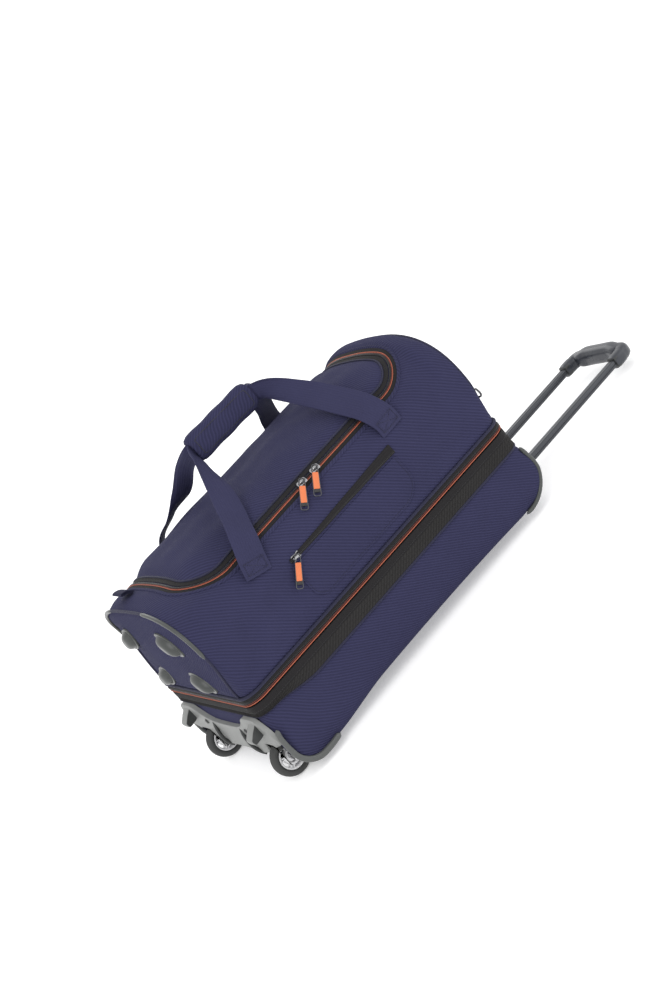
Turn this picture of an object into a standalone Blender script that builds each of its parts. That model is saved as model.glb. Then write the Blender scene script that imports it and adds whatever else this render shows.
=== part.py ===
"""Softside wheeled travel bag, lying on its base: a fabric case on a trolley base, built as separate pieces.

Frame: metres, +Z up, wheels towards -X, pull handle towards +X, front pocket towards -Y.
The shapes below are laid out round the middle of the case. One empty, bag_frame, carries them all and moves
them along X so that the world origin is under the middle of the whole object with its handle drawn out.
Rest: case closed, expansion zip closed, carry handles joined over the lid, pull handle drawn out part way.
"""

import math

import bmesh
import bpy
from mathutils import Matrix, Vector

MM = 0.001
GAP = 0.4 * MM            # left between touching pieces

# Case
CASE_LENGTH = 510 * MM
CASE_WIDTH = 308 * MM
WALL = 3 * MM
BASE_Z = 13 * MM          # underside of the base
ZIP_Z = 121 * MM          # the expansion zip, where the case opens out
WALL_TOP_Z = 205 * MM     # the side walls are upright to here, then curve over to the crest
SECTION_POWER = 2.6       # squareness of that curve
CREST = [                 # (x, height) of the case's crest, from the wheel end to the handle end
    (-255 * MM, 281 * MM), (-230 * MM, 287 * MM), (-170 * MM, 297 * MM), (-50 * MM, 303 * MM),
    (80 * MM, 303 * MM), (180 * MM, 304 * MM), (225 * MM, 303 * MM), (245 * MM, 299 * MM), (255 * MM, 294 * MM),
]
BASE_CORNER_WHEEL = 25 * MM
BASE_CORNER_HANDLE = 60 * MM
BASE_EDGE = 8 * MM
CORNER_TIGHT_Z = 45 * MM
BAND_Z = 91 * MM          # lower edge of the black band under the expansion zip
BAND_RISE = 12 * MM       # how much narrower that band is round the wheel end
PLAN_CORNER = 30 * MM
SEAM_CORNER = 4 * MM      # the upper case's corners tighten to this at the top
EXPANSION = 55 * MM

# Lid opening, in plan
LID_X = (-206 * MM, 212 * MM)
LID_Y = 130 * MM
LID_CORNER = 55 * MM
TAPE_WIDTH = 13 * MM
TAPE_FROM, TAPE_TO = 0.3 * MM, 1.5 * MM

# Pull handle
TUBE_Y = 62 * MM
TUBE_Z = 27 * MM
INNER_TUBE = (14 * MM, 11 * MM)
OUTER_TUBE = (18 * MM, 15 * MM)
TUBE_BORE = (15.2 * MM, 12.2 * MM)
OUTER_TUBE_X = (-200 * MM, 245 * MM)
INNER_TUBE_X = (45 * MM, 505 * MM)
GRIP_X = 488 * MM         # where the tubes go into the grip
GRIP_BAR_X = 531 * MM     # middle of the grip's bar
BUTTON_TOP_X = 548.5 * MM

# Wheels
WHEEL_X = -252 * MM
WHEEL_Y = 110 * MM
WHEEL_R = 27.5 * MM
WHEEL_WIDTH = 20 * MM
AXLE_R = 4 * MM
HOUSING_FRONT = -262.5 * MM

# Carry handles
STRAP_WIDTH = 38 * MM
STRAP_THICK = 2.6 * MM
STRAP_END_X = 127 * MM
STRAP_PIVOT_Z = 221 * MM  # lowest corner of the sewn ends
HANDLE_GRIP = Vector((10 * MM, -10 * MM, 368 * MM))
HANDLE_GRIP_LENGTH = 112 * MM

HALF_L, HALF_W = CASE_LENGTH / 2, CASE_WIDTH / 2
ORIGIN_X = (WHEEL_X - WHEEL_R + BUTTON_TOP_X) / 2

COLOURS = {
    "navy_fabric": ((0.045, 0.045, 0.10), 0.85, 0.0),
    "black_fabric": ((0.03, 0.03, 0.03), 0.9, 0.0),
    "webbing": ((0.045, 0.045, 0.10), 0.8, 0.0),
    "grey_plastic": ((0.16, 0.17, 0.165), 0.5, 0.0),
    "dark_plastic": ((0.06, 0.06, 0.065), 0.45, 0.0),
    "tube_metal": ((0.16, 0.17, 0.18), 0.35, 0.9),
    "steel": ((0.55, 0.55, 0.55), 0.3, 1.0),
    "tyre_rubber": ((0.05, 0.05, 0.052), 0.8, 0.0),
    "hub_plastic": ((0.75, 0.75, 0.75), 0.4, 0.0),
    "orange_plastic": ((0.9, 0.3, 0.1), 0.5, 0.0),
}


# ---------------------------------------------------------------- helpers

def clear_scene():
    for obj in list(bpy.data.objects):
        bpy.data.objects.remove(obj, do_unlink=True)


def material(name):
    found = bpy.data.materials.get(name)
    if found:
        return found
    colour, roughness, metallic = COLOURS[name]
    made = bpy.data.materials.new(name)
    made.use_nodes = True
    shader = made.node_tree.nodes["Principled BSDF"]
    shader.inputs["Base Color"].default_value = (*colour, 1)
    shader.inputs["Roughness"].default_value = roughness
    shader.inputs["Metallic"].default_value = metallic
    return made


def add_object(name, bm, slot, smooth=None, origin=None):
    """Makes an object from bm, with its faces turned outwards, on the bag's frame. origin is its joint's place."""
    bmesh.ops.remove_doubles(bm, verts=bm.verts, dist=1e-6)
    bmesh.ops.recalc_face_normals(bm, faces=bm.faces)
    mesh = bpy.data.meshes.new(name)
    bm.to_mesh(mesh)
    bm.free()
    obj = bpy.data.objects.new(name, mesh)
    bpy.context.scene.collection.objects.link(obj)
    if slot:
        mesh.materials.append(material(slot))
    if smooth:
        mesh.shade_smooth()
        mesh.set_sharp_from_angle(angle=math.radians(smooth))
    if origin is not None:
        mesh.transform(Matrix.Translation(-Vector(origin)))
        obj.location = origin
    obj.parent = bpy.data.objects["bag_frame"]
    return obj


def box_bm(lo, hi, bevel=0.0, segments=2):
    bm = bmesh.new()
    centre = (Vector(lo) + Vector(hi)) / 2
    size = Vector(hi) - Vector(lo)
    bmesh.ops.create_cube(bm, size=1, matrix=Matrix.Translation(centre) @ Matrix.Diagonal((*size, 1)))
    if bevel:
        bmesh.ops.bevel(bm, geom=bm.edges, offset=bevel, segments=segments, affect="EDGES", profile=0.5)
    return bm


def add_box(name, lo, hi, slot, bevel=0.0, origin=None):
    return add_object(name, box_bm(lo, hi, bevel), slot, origin=origin)


def cylinder_bm(centre, axis, radius, length, sides=24, radius_end=None):
    bm = bmesh.new()
    turn = Vector((0, 0, 1)).rotation_difference(Vector(axis)).to_matrix().to_4x4()
    bmesh.ops.create_cone(
        bm, cap_ends=True, segments=sides, radius1=radius, radius2=radius_end or radius, depth=length,
        matrix=Matrix.Translation(centre) @ turn,
    )
    return bm


def prism_bm(outline, axis, low, high):
    """A prism of a plane outline, along axis 0, 1 or 2. The outline holds the other two coordinates, in order."""
    bm = bmesh.new()
    ends = []
    for level in (low, high):
        points = []
        for u, v in outline:
            point = [u, v]
            point.insert(axis, level)
            points.append(bm.verts.new(point))
        ends.append(points)
    count = len(outline)
    bm.faces.new(ends[0])
    bm.faces.new(ends[1])
    for i in range(count):
        j = (i + 1) % count
        bm.faces.new((ends[0][i], ends[0][j], ends[1][j], ends[1][i]))
    return bm


def loft_bm(rings, close_ends=True, loop=False):
    """Skin through rings of equal point counts. loop joins the last ring to the first."""
    bm = bmesh.new()
    made = [[bm.verts.new(point) for point in ring] for ring in rings]
    count = len(rings[0])
    pairs = list(zip(made, made[1:]))
    if loop:
        pairs.append((made[-1], made[0]))
    for a, b in pairs:
        for i in range(count):
            j = (i + 1) % count
            bm.faces.new((a[i], a[j], b[j], b[i]))
    if close_ends and not loop:
        bm.faces.new(made[0])
        bm.faces.new(made[-1])
    return bm


def cup_bm(outer, inner):
    """A thin shell between two stacks of rings that start at its rim. The far end of each stack is closed."""
    bm = bmesh.new()
    rims = []
    for rings in (outer, inner):
        made = [[bm.verts.new(point) for point in ring] for ring in rings]
        count = len(rings[0])
        for a, b in zip(made, made[1:]):
            for i in range(count):
                j = (i + 1) % count
                bm.faces.new((a[i], a[j], b[j], b[i]))
        middle = bm.verts.new(sum((Vector(p) for p in rings[-1]), Vector()) / count)
        for i in range(count):
            bm.faces.new((made[-1][i], made[-1][(i + 1) % count], middle))
        rims.append(made[0])
    count = len(rims[0])
    for i in range(count):
        j = (i + 1) % count
        bm.faces.new((rims[0][i], rims[0][j], rims[1][j], rims[1][i]))
    return bm


def cutter(name, bm):
    obj = add_object(name, bm, None)
    obj.hide_render = True
    obj.display_type = "WIRE"
    return obj


def boolean(obj, other, operation="DIFFERENCE"):
    modifier = obj.modifiers.new(other.name, "BOOLEAN")
    modifier.operation = operation
    modifier.object = other
    modifier.solver = "EXACT"


def smooth_path(points, steps):
    """Points along a Catmull-Rom curve through the given points."""
    vectors = [Vector(p) for p in points]
    padded = [2 * vectors[0] - vectors[1], *vectors, 2 * vectors[-1] - vectors[-2]]
    path = []
    for i in range(1, len(padded) - 2):
        p0, p1, p2, p3 = padded[i - 1:i + 3]
        for k in range(steps):
            t = k / steps
            path.append(0.5 * (2 * p1 + (p2 - p0) * t + (2 * p0 - 5 * p1 + 4 * p2 - p3) * t * t
                               + (3 * p1 - p0 - 3 * p2 + p3) * t ** 3))
    path.append(vectors[-1])
    return path


def sweep_bm(path, section, across):
    """A solid along a path. section holds (side, normal) points, and across gives each path point's side direction."""
    rings = []
    for i, point in enumerate(path):
        ahead = path[min(i + 1, len(path) - 1)] - path[max(i - 1, 0)]
        normal = ahead.cross(across[i]).normalized()
        side = normal.cross(ahead).normalized()
        rings.append([point + side * u + normal * v for u, v in section])
    return loft_bm(rings)


def rounded_outline(x_low, x_high, y_low, y_high, radii, steps=6):
    """A rounded rectangle, anticlockwise. radii are of the corners (low, low), (high, low), (high, high), (low, high)."""
    corners = [(x_low, y_low, 180), (x_high, y_low, 270), (x_high, y_high, 0), (x_low, y_high, 90)]
    points = []
    for (x, y, start), radius in zip(corners, radii):
        cx = x + radius if x == x_low else x - radius
        cy = y + radius if y == y_low else y - radius
        for k in range(steps + 1):
            angle = math.radians(start + 90 * k / steps)
            points.append((cx + radius * math.cos(angle), cy + radius * math.sin(angle)))
    return points


def plan_ring(x_low, x_high, half_width, radius, corner_steps=5, side_steps=8, end_steps=4):
    """(x, y, end share) round a rounded rectangle in plan: the share is 0 on the long sides and 1 on the ends."""
    points = []
    spans = [(x_low, -1, 180), (x_high, -1, 270), (x_high, 1, 0), (x_low, 1, 90)]
    for index, (x, side, start) in enumerate(spans):
        cx = x + radius if x == x_low else x - radius
        cy = side * (half_width - radius)
        for k in range(corner_steps + 1):
            turn = k / corner_steps
            angle = math.radians(start + 90 * turn)
            share = 1 - turn if index % 2 == 0 else turn
            points.append((cx + radius * math.cos(angle), cy + radius * math.sin(angle), share))
        if index % 2 == 0:
            low, high = x_low + radius, x_high - radius
            for k in range(1, side_steps):
                t = k / side_steps
                points.append((low + (high - low) * (t if index == 0 else 1 - t), side * half_width, 0.0))
        else:
            for k in range(1, end_steps):
                y = (half_width - radius) * (2 * k / end_steps - 1)
                points.append((x, y if index == 1 else -y, 1.0))
    return points


# ---------------------------------------------------------------- the case's two shells

def base_corner(z):
    """Radius of the base's upright corners: tight at the floor, as wide as the upper case's from BAND_Z up."""
    share = min(max((z - CORNER_TIGHT_Z) / (BAND_Z - CORNER_TIGHT_Z), 0), 1)
    return BASE_EDGE + (PLAN_CORNER - BASE_EDGE) * share


def band_low(x):
    """Lower edge of the black band: it narrows round the wheel end, over the housing."""
    share = min(max((-x - HALF_L + 95 * MM) / (75 * MM), 0), 1)
    return BAND_Z + BAND_RISE * share * share * (3 - 2 * share)


def base_rings(offset, rim_z, levels=8):
    """Rings of the base from its rim down to its underside, moved outwards by offset."""
    bottom = BASE_Z - offset
    centre_z = BASE_Z + BASE_CORNER_HANDLE
    heights = [rim_z, BAND_Z]
    for k in range(levels + 1):
        angle = math.radians(90 * k / levels)
        heights.append(centre_z - (BASE_CORNER_HANDLE + offset) * math.sin(angle))
    rings = []
    for z in heights:
        up = z - bottom

        def inset(radius):
            reach = max(radius + offset, 0.001)
            return reach - math.sqrt(max(reach ** 2 - (reach - up) ** 2, 0)) if up < reach else 0.0

        ring = plan_ring(
            -HALF_L - offset + inset(BASE_CORNER_WHEEL), HALF_L + offset - inset(BASE_CORNER_HANDLE),
            HALF_W + offset - inset(BASE_EDGE), max(base_corner(z) + offset, 0.001),
        )
        rings.append([(x, y, z) for x, y, _ in ring])
    return rings


def crest_height(x):
    x = min(max(x, CREST[0][0]), CREST[-1][0])
    for (x0, z0), (x1, z1) in zip(CREST, CREST[1:]):
        if x <= x1:
            return z0 + (z1 - z0) * (x - x0) / (x1 - x0)
    return CREST[-1][1]


def corner_inset(x, z):
    """How far the case's long sides draw in near its ends, which rounds its upright corners."""
    share = min(max((z - ZIP_Z - 13 * MM) / (70 * MM), 0), 1)
    radius = PLAN_CORNER + (SEAM_CORNER - PLAN_CORNER) * share * share * (3 - 2 * share)
    into = radius - (HALF_L - abs(x))
    return radius - math.sqrt(radius ** 2 - min(into, radius) ** 2) if into > 0 else 0.0


def section_levels():
    """(kind, value) round the case's cross-section from the front rim to the crest and down to the back rim."""
    half = [("wall", v) for v in (0.0, 0.2, 0.6)]
    half += [("curve", v) for v in (0, 14, 28, 42, 55, 67, 77, 84)]
    return [(-1, *level) for level in half] + [(1, "curve", 90)] + [(1, *level) for level in reversed(half)]


def case_section(x, offset, rim_z):
    """Points of the case's cross-section at x, from the front rim over the crest to the back rim."""
    points = []
    inner_x = max(min(x, HALF_L), -HALF_L)
    for side, kind, value in section_levels():
        if kind == "wall":
            across, z = 1.0, rim_z + (WALL_TOP_Z - rim_z) * value
        else:
            angle = math.radians(value)
            across = math.cos(angle) ** (2 / SECTION_POWER) if value < 90 else 0.0
            z = WALL_TOP_Z + (crest_height(x) + offset - WALL_TOP_Z) * math.sin(angle) ** (2 / SECTION_POWER)
        y = side * (HALF_W + offset - corner_inset(inner_x, z)) * across
        points.append(Vector((x, y, z)))
    return points


def case_stations(offset):
    """Places along X of the cross-sections, close together at the rounded corners."""
    end = HALF_L + offset
    near = [0, 0.6 * MM, 2.5 * MM, 7 * MM, 15 * MM, 30 * MM]
    middle = [-170 * MM, -110 * MM, -50 * MM, 10 * MM, 80 * MM, 140 * MM, 190 * MM]
    return [-end + d for d in near] + middle + [end - d for d in reversed(near)]


def case_skin_bm(outer_offset, inner_offset, rim_z):
    """A closed shell between two offsets of the case's surface, open underneath at rim_z."""
    bm = bmesh.new()
    rims = []
    for offset in (outer_offset, inner_offset):
        grid = [[bm.verts.new(p) for p in case_section(x, offset, rim_z)] for x in case_stations(offset)]
        for a, b in zip(grid, grid[1:]):
            for j in range(len(a) - 1):
                bm.faces.new((a[j], a[j + 1], b[j + 1], b[j]))
        bm.faces.new(grid[0])
        bm.faces.new(grid[-1])
        rims.append([row[0] for row in grid] + [row[-1] for row in reversed(grid)])
    count = len(rims[0])
    for i in range(count):
        j = (i + 1) % count
        bm.faces.new((rims[0][i], rims[0][j], rims[1][j], rims[1][i]))
    return bm


def surface_height(x, y):
    """Height of the closed case's outer surface over a point."""
    share = min(abs(y) / HALF_W, 1)
    return WALL_TOP_Z + (crest_height(x) - WALL_TOP_Z) * (1 - share ** SECTION_POWER) ** (1 / SECTION_POWER)


def lid_outline(grow, back_grow=None):
    """Plan outline of the lid, grown outwards. back_grow sets how far the hinge side moves instead."""
    back = grow if back_grow is None else back_grow
    front_radius = LID_CORNER + grow
    back_radius = 20 * MM + min(grow, back)
    return rounded_outline(
        LID_X[0] - grow, LID_X[1] + grow, -LID_Y - grow, LID_Y + back,
        (front_radius, front_radius, back_radius, back_radius),
    )


def build_base():
    rim = ZIP_Z - 0.7 * MM
    shell = add_object("base_shell", cup_bm(base_rings(0, rim), base_rings(-WALL, rim)), "navy_fabric", 40)
    for side, label in ((-1, "front"), (1, "back")):
        y = side * WHEEL_Y
        boolean(shell, cutter(f"cut_wheel_well_{label}", box_bm(
            (-0.30, y - 22.9 * MM, 0), (-0.2120, y + 22.9 * MM, 60.9 * MM))))
        boolean(shell, cutter(f"cut_tube_exit_{label}", box_bm(
            (0.19, side * TUBE_Y - 9.6 * MM, TUBE_Z - 8.1 * MM),
            (0.30, side * TUBE_Y + 9.6 * MM, TUBE_Z + 8.1 * MM))))
    add_box("floor_panel", (-0.205, -0.1455, 37.8 * MM), (0.225, 0.1455, 40.8 * MM), "black_fabric")

    rings = []
    for d, low in ((0.3 * MM, True), (1.6 * MM, True), (1.6 * MM, False), (0.3 * MM, False)):
        ring = plan_ring(-HALF_L - d, HALF_L + d, HALF_W + d, PLAN_CORNER + d, side_steps=16)
        rings.append([(x, y, band_low(x) if low else rim) for x, y, _ in ring])
    add_object("base_zip_band", loft_bm(rings, loop=True), "black_fabric", 40)

    for side, label in ((-1, "front"), (1, "back")):
        out = 2.2 * MM
        centre_x, centre_z = HALF_L - BASE_CORNER_HANDLE, BASE_Z + BASE_CORNER_HANDLE
        radius = BASE_CORNER_HANDLE + out
        path = [Vector((HALF_L + out, side * (HALF_W + out), 84 * MM))]
        for k in range(13):
            angle = math.radians(-90 * k / 12)
            path.append(Vector((centre_x + radius * math.cos(angle), side * (HALF_W + out),
                                centre_z + radius * math.sin(angle))))
        path.append(Vector((centre_x - 12 * MM, side * (HALF_W + out), centre_z - radius)))
        for point in path:
            sunk = (base_corner(point.z) - BASE_EDGE) * (1 - math.sqrt(0.5))
            point.x -= sunk
            point.y -= side * sunk
        add_object(f"base_corner_guard_{label}", round_bar_bm(path, 4 * MM, Vector((0, 1, 0))), "grey_plastic", 60)
        add_object(f"base_glide_{label}", cylinder_bm(
            (0.150, side * 0.078, BASE_Z / 2 - 0.2 * MM), (0, 0, -1), 17 * MM, BASE_Z - 0.4 * MM, 24, 12 * MM),
            "dark_plastic", 40)


def round_bar_bm(path, radius, across, sides=8):
    section = [(radius * math.cos(2 * math.pi * k / sides), radius * math.sin(2 * math.pi * k / sides))
               for k in range(sides)]
    return sweep_bm(path, section, [across] * len(path))


def build_case():
    rim = ZIP_Z + 0.7 * MM
    shell = add_object("case_shell", case_skin_bm(0, -WALL, rim), "navy_fabric", 40)
    boolean(shell, cutter("cut_lid_opening", prism_bm(lid_outline(0.8 * MM), 2, 0.2, 0.4)))
    lid = add_object("lid", case_skin_bm(0, -WALL, rim), "navy_fabric", 40,
                     origin=lid_hinge())
    boolean(lid, cutter("keep_lid", prism_bm(lid_outline(0), 2, 0.2, 0.4)), "INTERSECT")

    hinge_edge = LID_Y - 12 * MM
    body_tape = add_object("lid_zip_case_tape", tape_skin(), "black_fabric", 40)
    boolean(body_tape, cutter("keep_case_tape", prism_bm(lid_outline(TAPE_WIDTH, -12 * MM), 2, 0.2, 0.4)),
            "INTERSECT")
    boolean(body_tape, cutter("cut_case_tape", prism_bm(lid_outline(0.2 * MM, 30 * MM), 2, 0.15, 0.45)))
    lid_tape = add_object("lid_zip_lid_tape", tape_skin(), "black_fabric", 40, origin=lid_hinge())
    boolean(lid_tape, cutter("keep_lid_tape", prism_bm(lid_outline(-0.6 * MM, hinge_edge - LID_Y), 2, 0.2, 0.4)),
            "INTERSECT")
    boolean(lid_tape, cutter("cut_lid_tape", prism_bm(lid_outline(-TAPE_WIDTH, 30 * MM), 2, 0.15, 0.45)))

    band = loft_bm([
        [(x, y, z) for x, y, _ in plan_ring(-HALF_L - d, HALF_L + d, HALF_W + d, PLAN_CORNER + d)]
        for d, z in ((0.8 * MM, rim), (2.0 * MM, rim), (2.0 * MM, 134.5 * MM), (0.8 * MM, 134.5 * MM))
    ], loop=True)
    add_object("case_zip_band", band, "black_fabric", 40)

    sleeve_x = (-HALF_L + WALL + 0.5 * MM, 0.2425)
    sleeve_rings = []
    for d, z in ((0, 62 * MM), (0, 140 * MM), (-1.5 * MM, 140 * MM), (-1.5 * MM, 62 * MM)):
        ring = plan_ring(sleeve_x[0] - d, sleeve_x[1] + d, HALF_W - WALL - 0.6 * MM + d, PLAN_CORNER - WALL + d)
        sleeve_rings.append([(x, y, z) for x, y, _ in ring])
    add_object("expansion_gusset", loft_bm(sleeve_rings, loop=True), "black_fabric", 40)


def lid_hinge():
    return (0.0, LID_Y, surface_height(0, LID_Y) + 1.2 * MM)


def tape_skin():
    rim = ZIP_Z + 0.7 * MM
    return case_skin_bm(TAPE_TO, TAPE_FROM, rim)


def build_front_pocket():
    face = -HALF_W
    outline = rounded_outline(-0.100, 0.104, 149 * MM, 208 * MM, (22 * MM, 32 * MM, 3 * MM, 3 * MM), 4)
    add_object("front_pocket", prism_bm(outline, 1, face - 3 * MM, face - 0.4 * MM), "navy_fabric", 30)
    welt = [(-0.094, 0.2115), (0.105, 0.2095), (0.105, 0.2245), (-0.094, 0.2185)]
    add_object("pocket_zip_tape", prism_bm(welt, 1, face - 1.8 * MM, face - 0.4 * MM), "black_fabric")


# ---------------------------------------------------------------- wheel end

def build_wheel_end():
    """Feet and corner guards on the end panel of the case, and the trolley's wheel housing."""
    x = -HALF_L
    for label, y, z, tilt in (
        ("top_front", -75 * MM, 232 * MM, 40), ("top_back", 75 * MM, 232 * MM, -40),
        ("low_front", -66 * MM, 163 * MM, 32), ("low_back", 66 * MM, 163 * MM, -32),
    ):
        add_object(f"end_foot_{label}", lens_foot_bm(Vector((x - GAP, y, z)), tilt), "grey_plastic", 50)

    radius, out = 4.5 * MM, 3.5 * MM
    section = case_section(x, out, ZIP_Z)
    crest = len(section) // 2
    path = [Vector((x - out, p.y, p.z)) for p in reversed(section[3:crest])]
    path.append(Vector((x - out, path[-1].y, 195 * MM)))
    for side, label in ((-1, "front"), (1, "back")):
        mirrored = [Vector((p.x, -side * p.y, p.z)) for p in path]
        add_object(f"end_corner_guard_{label}", round_bar_bm(mirrored, radius, Vector((1, 0, 0))),
                   "grey_plastic", 60)

    build_housing()


def lens_foot_bm(base, tilt):
    """A lens-shaped foot on the end panel: two arcs that meet at its tips, domed to a small flat crest."""
    half_length, half_width, height = 30 * MM, 15 * MM, 14 * MM
    arc_radius = (half_length ** 2 + half_width ** 2) / (2 * half_width)
    sweep = math.asin(half_length / arc_radius)
    outline = []
    for side in (1, -1):
        for k in range(9):
            angle = sweep * (2 * k / 8 - 1) * side
            outline.append((arc_radius * math.sin(angle), side * (arc_radius * math.cos(angle) - arc_radius + half_width)))
    outline = [p for i, p in enumerate(outline) if (Vector(p) - Vector(outline[i - 1])).length > 1e-5]
    turn = Matrix.Rotation(math.radians(tilt), 4, "X")
    rings = []
    for share, rise in ((1.0, 0.0), (1.0, 0.14), (0.90, 0.36), (0.74, 0.66), (0.55, 0.88), (0.36, 1.0)):
        rings.append([base + turn @ Vector((-height * rise, u * share, v * share)) for u, v in outline])
    return loft_bm(rings)


def build_housing():
    """One moulding: a plate up the end, a lip under the base and a block round each wheel."""
    front = HOUSING_FRONT
    plate_outline = [
        (-154, 40), (-152, 70), (-143, 84), (-131, 98), (-125, 101), (-58, 101), (-50, 98), (-34, 86), (-24, 83),
        (24, 83), (34, 86), (50, 98), (58, 101), (125, 101), (131, 98), (143, 84), (152, 70), (154, 40), (152, 18),
        (86, 18), (72, 36), (-72, 36), (-86, 18), (-152, 18),
    ]
    plate = prism_bm([(y * MM, z * MM) for y, z in plate_outline], 0, front, -HALF_L - GAP)
    housing = add_object("wheel_housing", plate, "grey_plastic")
    for side, label in ((-1, "front"), (1, "back")):
        y = side * WHEEL_Y
        boolean(housing, cutter(f"join_wheel_block_{label}", box_bm(
            (front - 0.8 * MM, y - 22.5 * MM, 12 * MM), (-0.2125, y + 22.5 * MM, 60.5 * MM), 2 * MM, 1)), "UNION")
        boolean(housing, cutter(f"cut_wheel_{label}", cylinder_bm(
            (WHEEL_X, y, WHEEL_R), (0, 1, 0), 30.5 * MM, 25 * MM, 32)))
        boolean(housing, cutter(f"cut_wheel_mouth_{label}", box_bm(
            (-0.3, y - 12.5 * MM, -0.01), (WHEEL_X + 12 * MM, y + 12.5 * MM, 34 * MM))))
        boolean(housing, cutter(f"cut_axle_{label}", cylinder_bm(
            (WHEEL_X, y, WHEEL_R), (0, 1, 0), AXLE_R + 0.3 * MM, 60 * MM, 20)))
        boolean(housing, cutter(f"cut_recess_{label}", box_bm(
            (front - 5 * MM, side * 0.128 - 9 * MM, 66 * MM), (front + 3.5 * MM, side * 0.128 + 9 * MM, 82 * MM),
            2 * MM, 1)))
        add_object(f"axle_{label}", cylinder_bm(
            (WHEEL_X, y, WHEEL_R), (0, 1, 0), AXLE_R, 44 * MM, 20), "steel", 40)
        out = 2.2 * MM
        arm_y = side * (HALF_W + out)
        centre_x, centre_z = -HALF_L + BASE_CORNER_WHEEL, BASE_Z + BASE_CORNER_WHEEL
        radius = BASE_CORNER_WHEEL + out
        path = [Vector((-HALF_L - out, arm_y, 72 * MM)), Vector((-HALF_L - out, arm_y, 52 * MM))]
        for k in range(7):
            angle = math.radians(180 + 90 * k / 6)
            path.append(Vector((centre_x + radius * math.cos(angle), arm_y, centre_z + radius * math.sin(angle))))
        path.append(Vector((-0.190, arm_y, centre_z - radius)))
        boolean(housing, cutter(f"join_corner_guard_{label}", round_bar_bm(path, 4 * MM, Vector((0, 1, 0)))), "UNION")
    for label, y in (("front", -68 * MM), ("back", 68 * MM)):
        add_object(f"housing_screw_{label}", cylinder_bm(
            (front - 1.3 * MM, y, 77 * MM), (-1, 0, 0), 4 * MM, 1.8 * MM, 16, 2.6 * MM), "steel", 40)


def build_wheel(side, label):
    """A spoked hub, a rubber tyre and a ball bearing, turning on a fixed axle."""
    centre = Vector((WHEEL_X, side * WHEEL_Y, WHEEL_R))
    half = WHEEL_WIDTH / 2

    def lathe(profile, sides):
        rings = []
        for radius, y in profile:
            rings.append([centre + Vector((radius * math.cos(2 * math.pi * k / sides), y,
                                           radius * math.sin(2 * math.pi * k / sides))) for k in range(sides)])
        return loft_bm(rings, loop=True)

    tyre_profile = [(18.3, -6), (22.5, -7.8), (25.4, -6.2), (27.1, -3.2), (27.5, 0), (27.1, 3.2), (25.4, 6.2),
                    (22.5, 7.8), (18.3, 6)]
    add_object(f"tyre_{label}", lathe([(r * MM, y * MM) for r, y in tyre_profile], 40), "tyre_rubber", 40,
               origin=centre)
    rim = add_object(f"hub_{label}", lathe(
        [(15.2 * MM, -half * 0.65), (18.0 * MM, -half * 0.65), (18.0 * MM, half * 0.65), (15.2 * MM, half * 0.65)],
        40), "hub_plastic", 40, origin=centre)
    boss = cutter(f"join_boss_{label}", lathe(
        [(8.3 * MM, -half * 0.8), (10.0 * MM, -half * 0.8), (10.0 * MM, half * 0.8), (8.3 * MM, half * 0.8)], 24))
    boolean(rim, boss, "UNION")
    for k in range(5):
        angle = 2 * math.pi * (k + 0.25) / 5
        spoke = box_bm((9.2 * MM, -half * 0.5, -2 * MM), (16.2 * MM, half * 0.5, 2 * MM))
        spoke.transform(Matrix.Translation(centre) @ Matrix.Rotation(angle, 4, "Y"))
        boolean(rim, cutter(f"join_spoke_{label}_{k}", spoke), "UNION")
    add_object(f"bearing_{label}", lathe(
        [(4.15 * MM, -3.5 * MM), (8.1 * MM, -3.5 * MM), (8.1 * MM, 3.5 * MM), (4.15 * MM, 3.5 * MM)], 24),
        "steel", 40, origin=centre)


# ---------------------------------------------------------------- pull handle

def tube_bm(x_low, x_high, y, outside, inside):
    """A rectangular tube along X, open at both ends."""
    rings = []
    for size, x in ((inside, x_low), (outside, x_low), (outside, x_high), (inside, x_high)):
        half_y, half_z = size[0] / 2, size[1] / 2
        chamfer = 1.5 * MM if size is outside else 0.8 * MM
        outline = rounded_outline(-half_y, half_y, -half_z, half_z, (chamfer,) * 4, 2)
        rings.append([(x, y + u, TUBE_Z + v) for u, v in outline])
    return loft_bm(rings, loop=True)


def build_pull_handle():
    bore = (INNER_TUBE[0] - 2.4 * MM, INNER_TUBE[1] - 2.4 * MM)
    for side, label in ((-1, "front"), (1, "back")):
        y = side * TUBE_Y
        add_object(f"outer_tube_{label}", tube_bm(*OUTER_TUBE_X, y, OUTER_TUBE, TUBE_BORE), "tube_metal")
        add_object(f"inner_tube_{label}", tube_bm(*INNER_TUBE_X, y, INNER_TUBE, bore), "tube_metal")
        low = INNER_TUBE_X[0] - 0.3 * MM
        add_box(f"guide_plug_{label}", (low - 20 * MM, y - 7.3 * MM, TUBE_Z - 5.8 * MM),
                (low, y + 7.3 * MM, TUBE_Z + 5.8 * MM), "dark_plastic", 0.8 * MM)
        add_box(f"release_rod_{label}", (INNER_TUBE_X[0] + 12 * MM, y - 2 * MM, TUBE_Z - 2 * MM),
                (INNER_TUBE_X[1] - 6 * MM, y + 2 * MM, TUBE_Z + 2 * MM), "steel")
    add_box("tube_foot", (-0.2105, -0.080, 19 * MM), (-0.2004, 0.080, 37 * MM), "dark_plastic", 1.5 * MM)

    bezel = add_box("tube_bezel", (0.2454, -0.084, 15.5 * MM), (0.2600, 0.084, 38.5 * MM), "dark_plastic", 3 * MM)
    for side, label in ((-1, "front"), (1, "back")):
        boolean(bezel, cutter(f"cut_bezel_{label}", box_bm(
            (0.24, side * TUBE_Y - 7.4 * MM, TUBE_Z - 5.9 * MM), (0.27, side * TUBE_Y + 7.4 * MM, TUBE_Z + 5.9 * MM))))

    build_grip()


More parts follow.
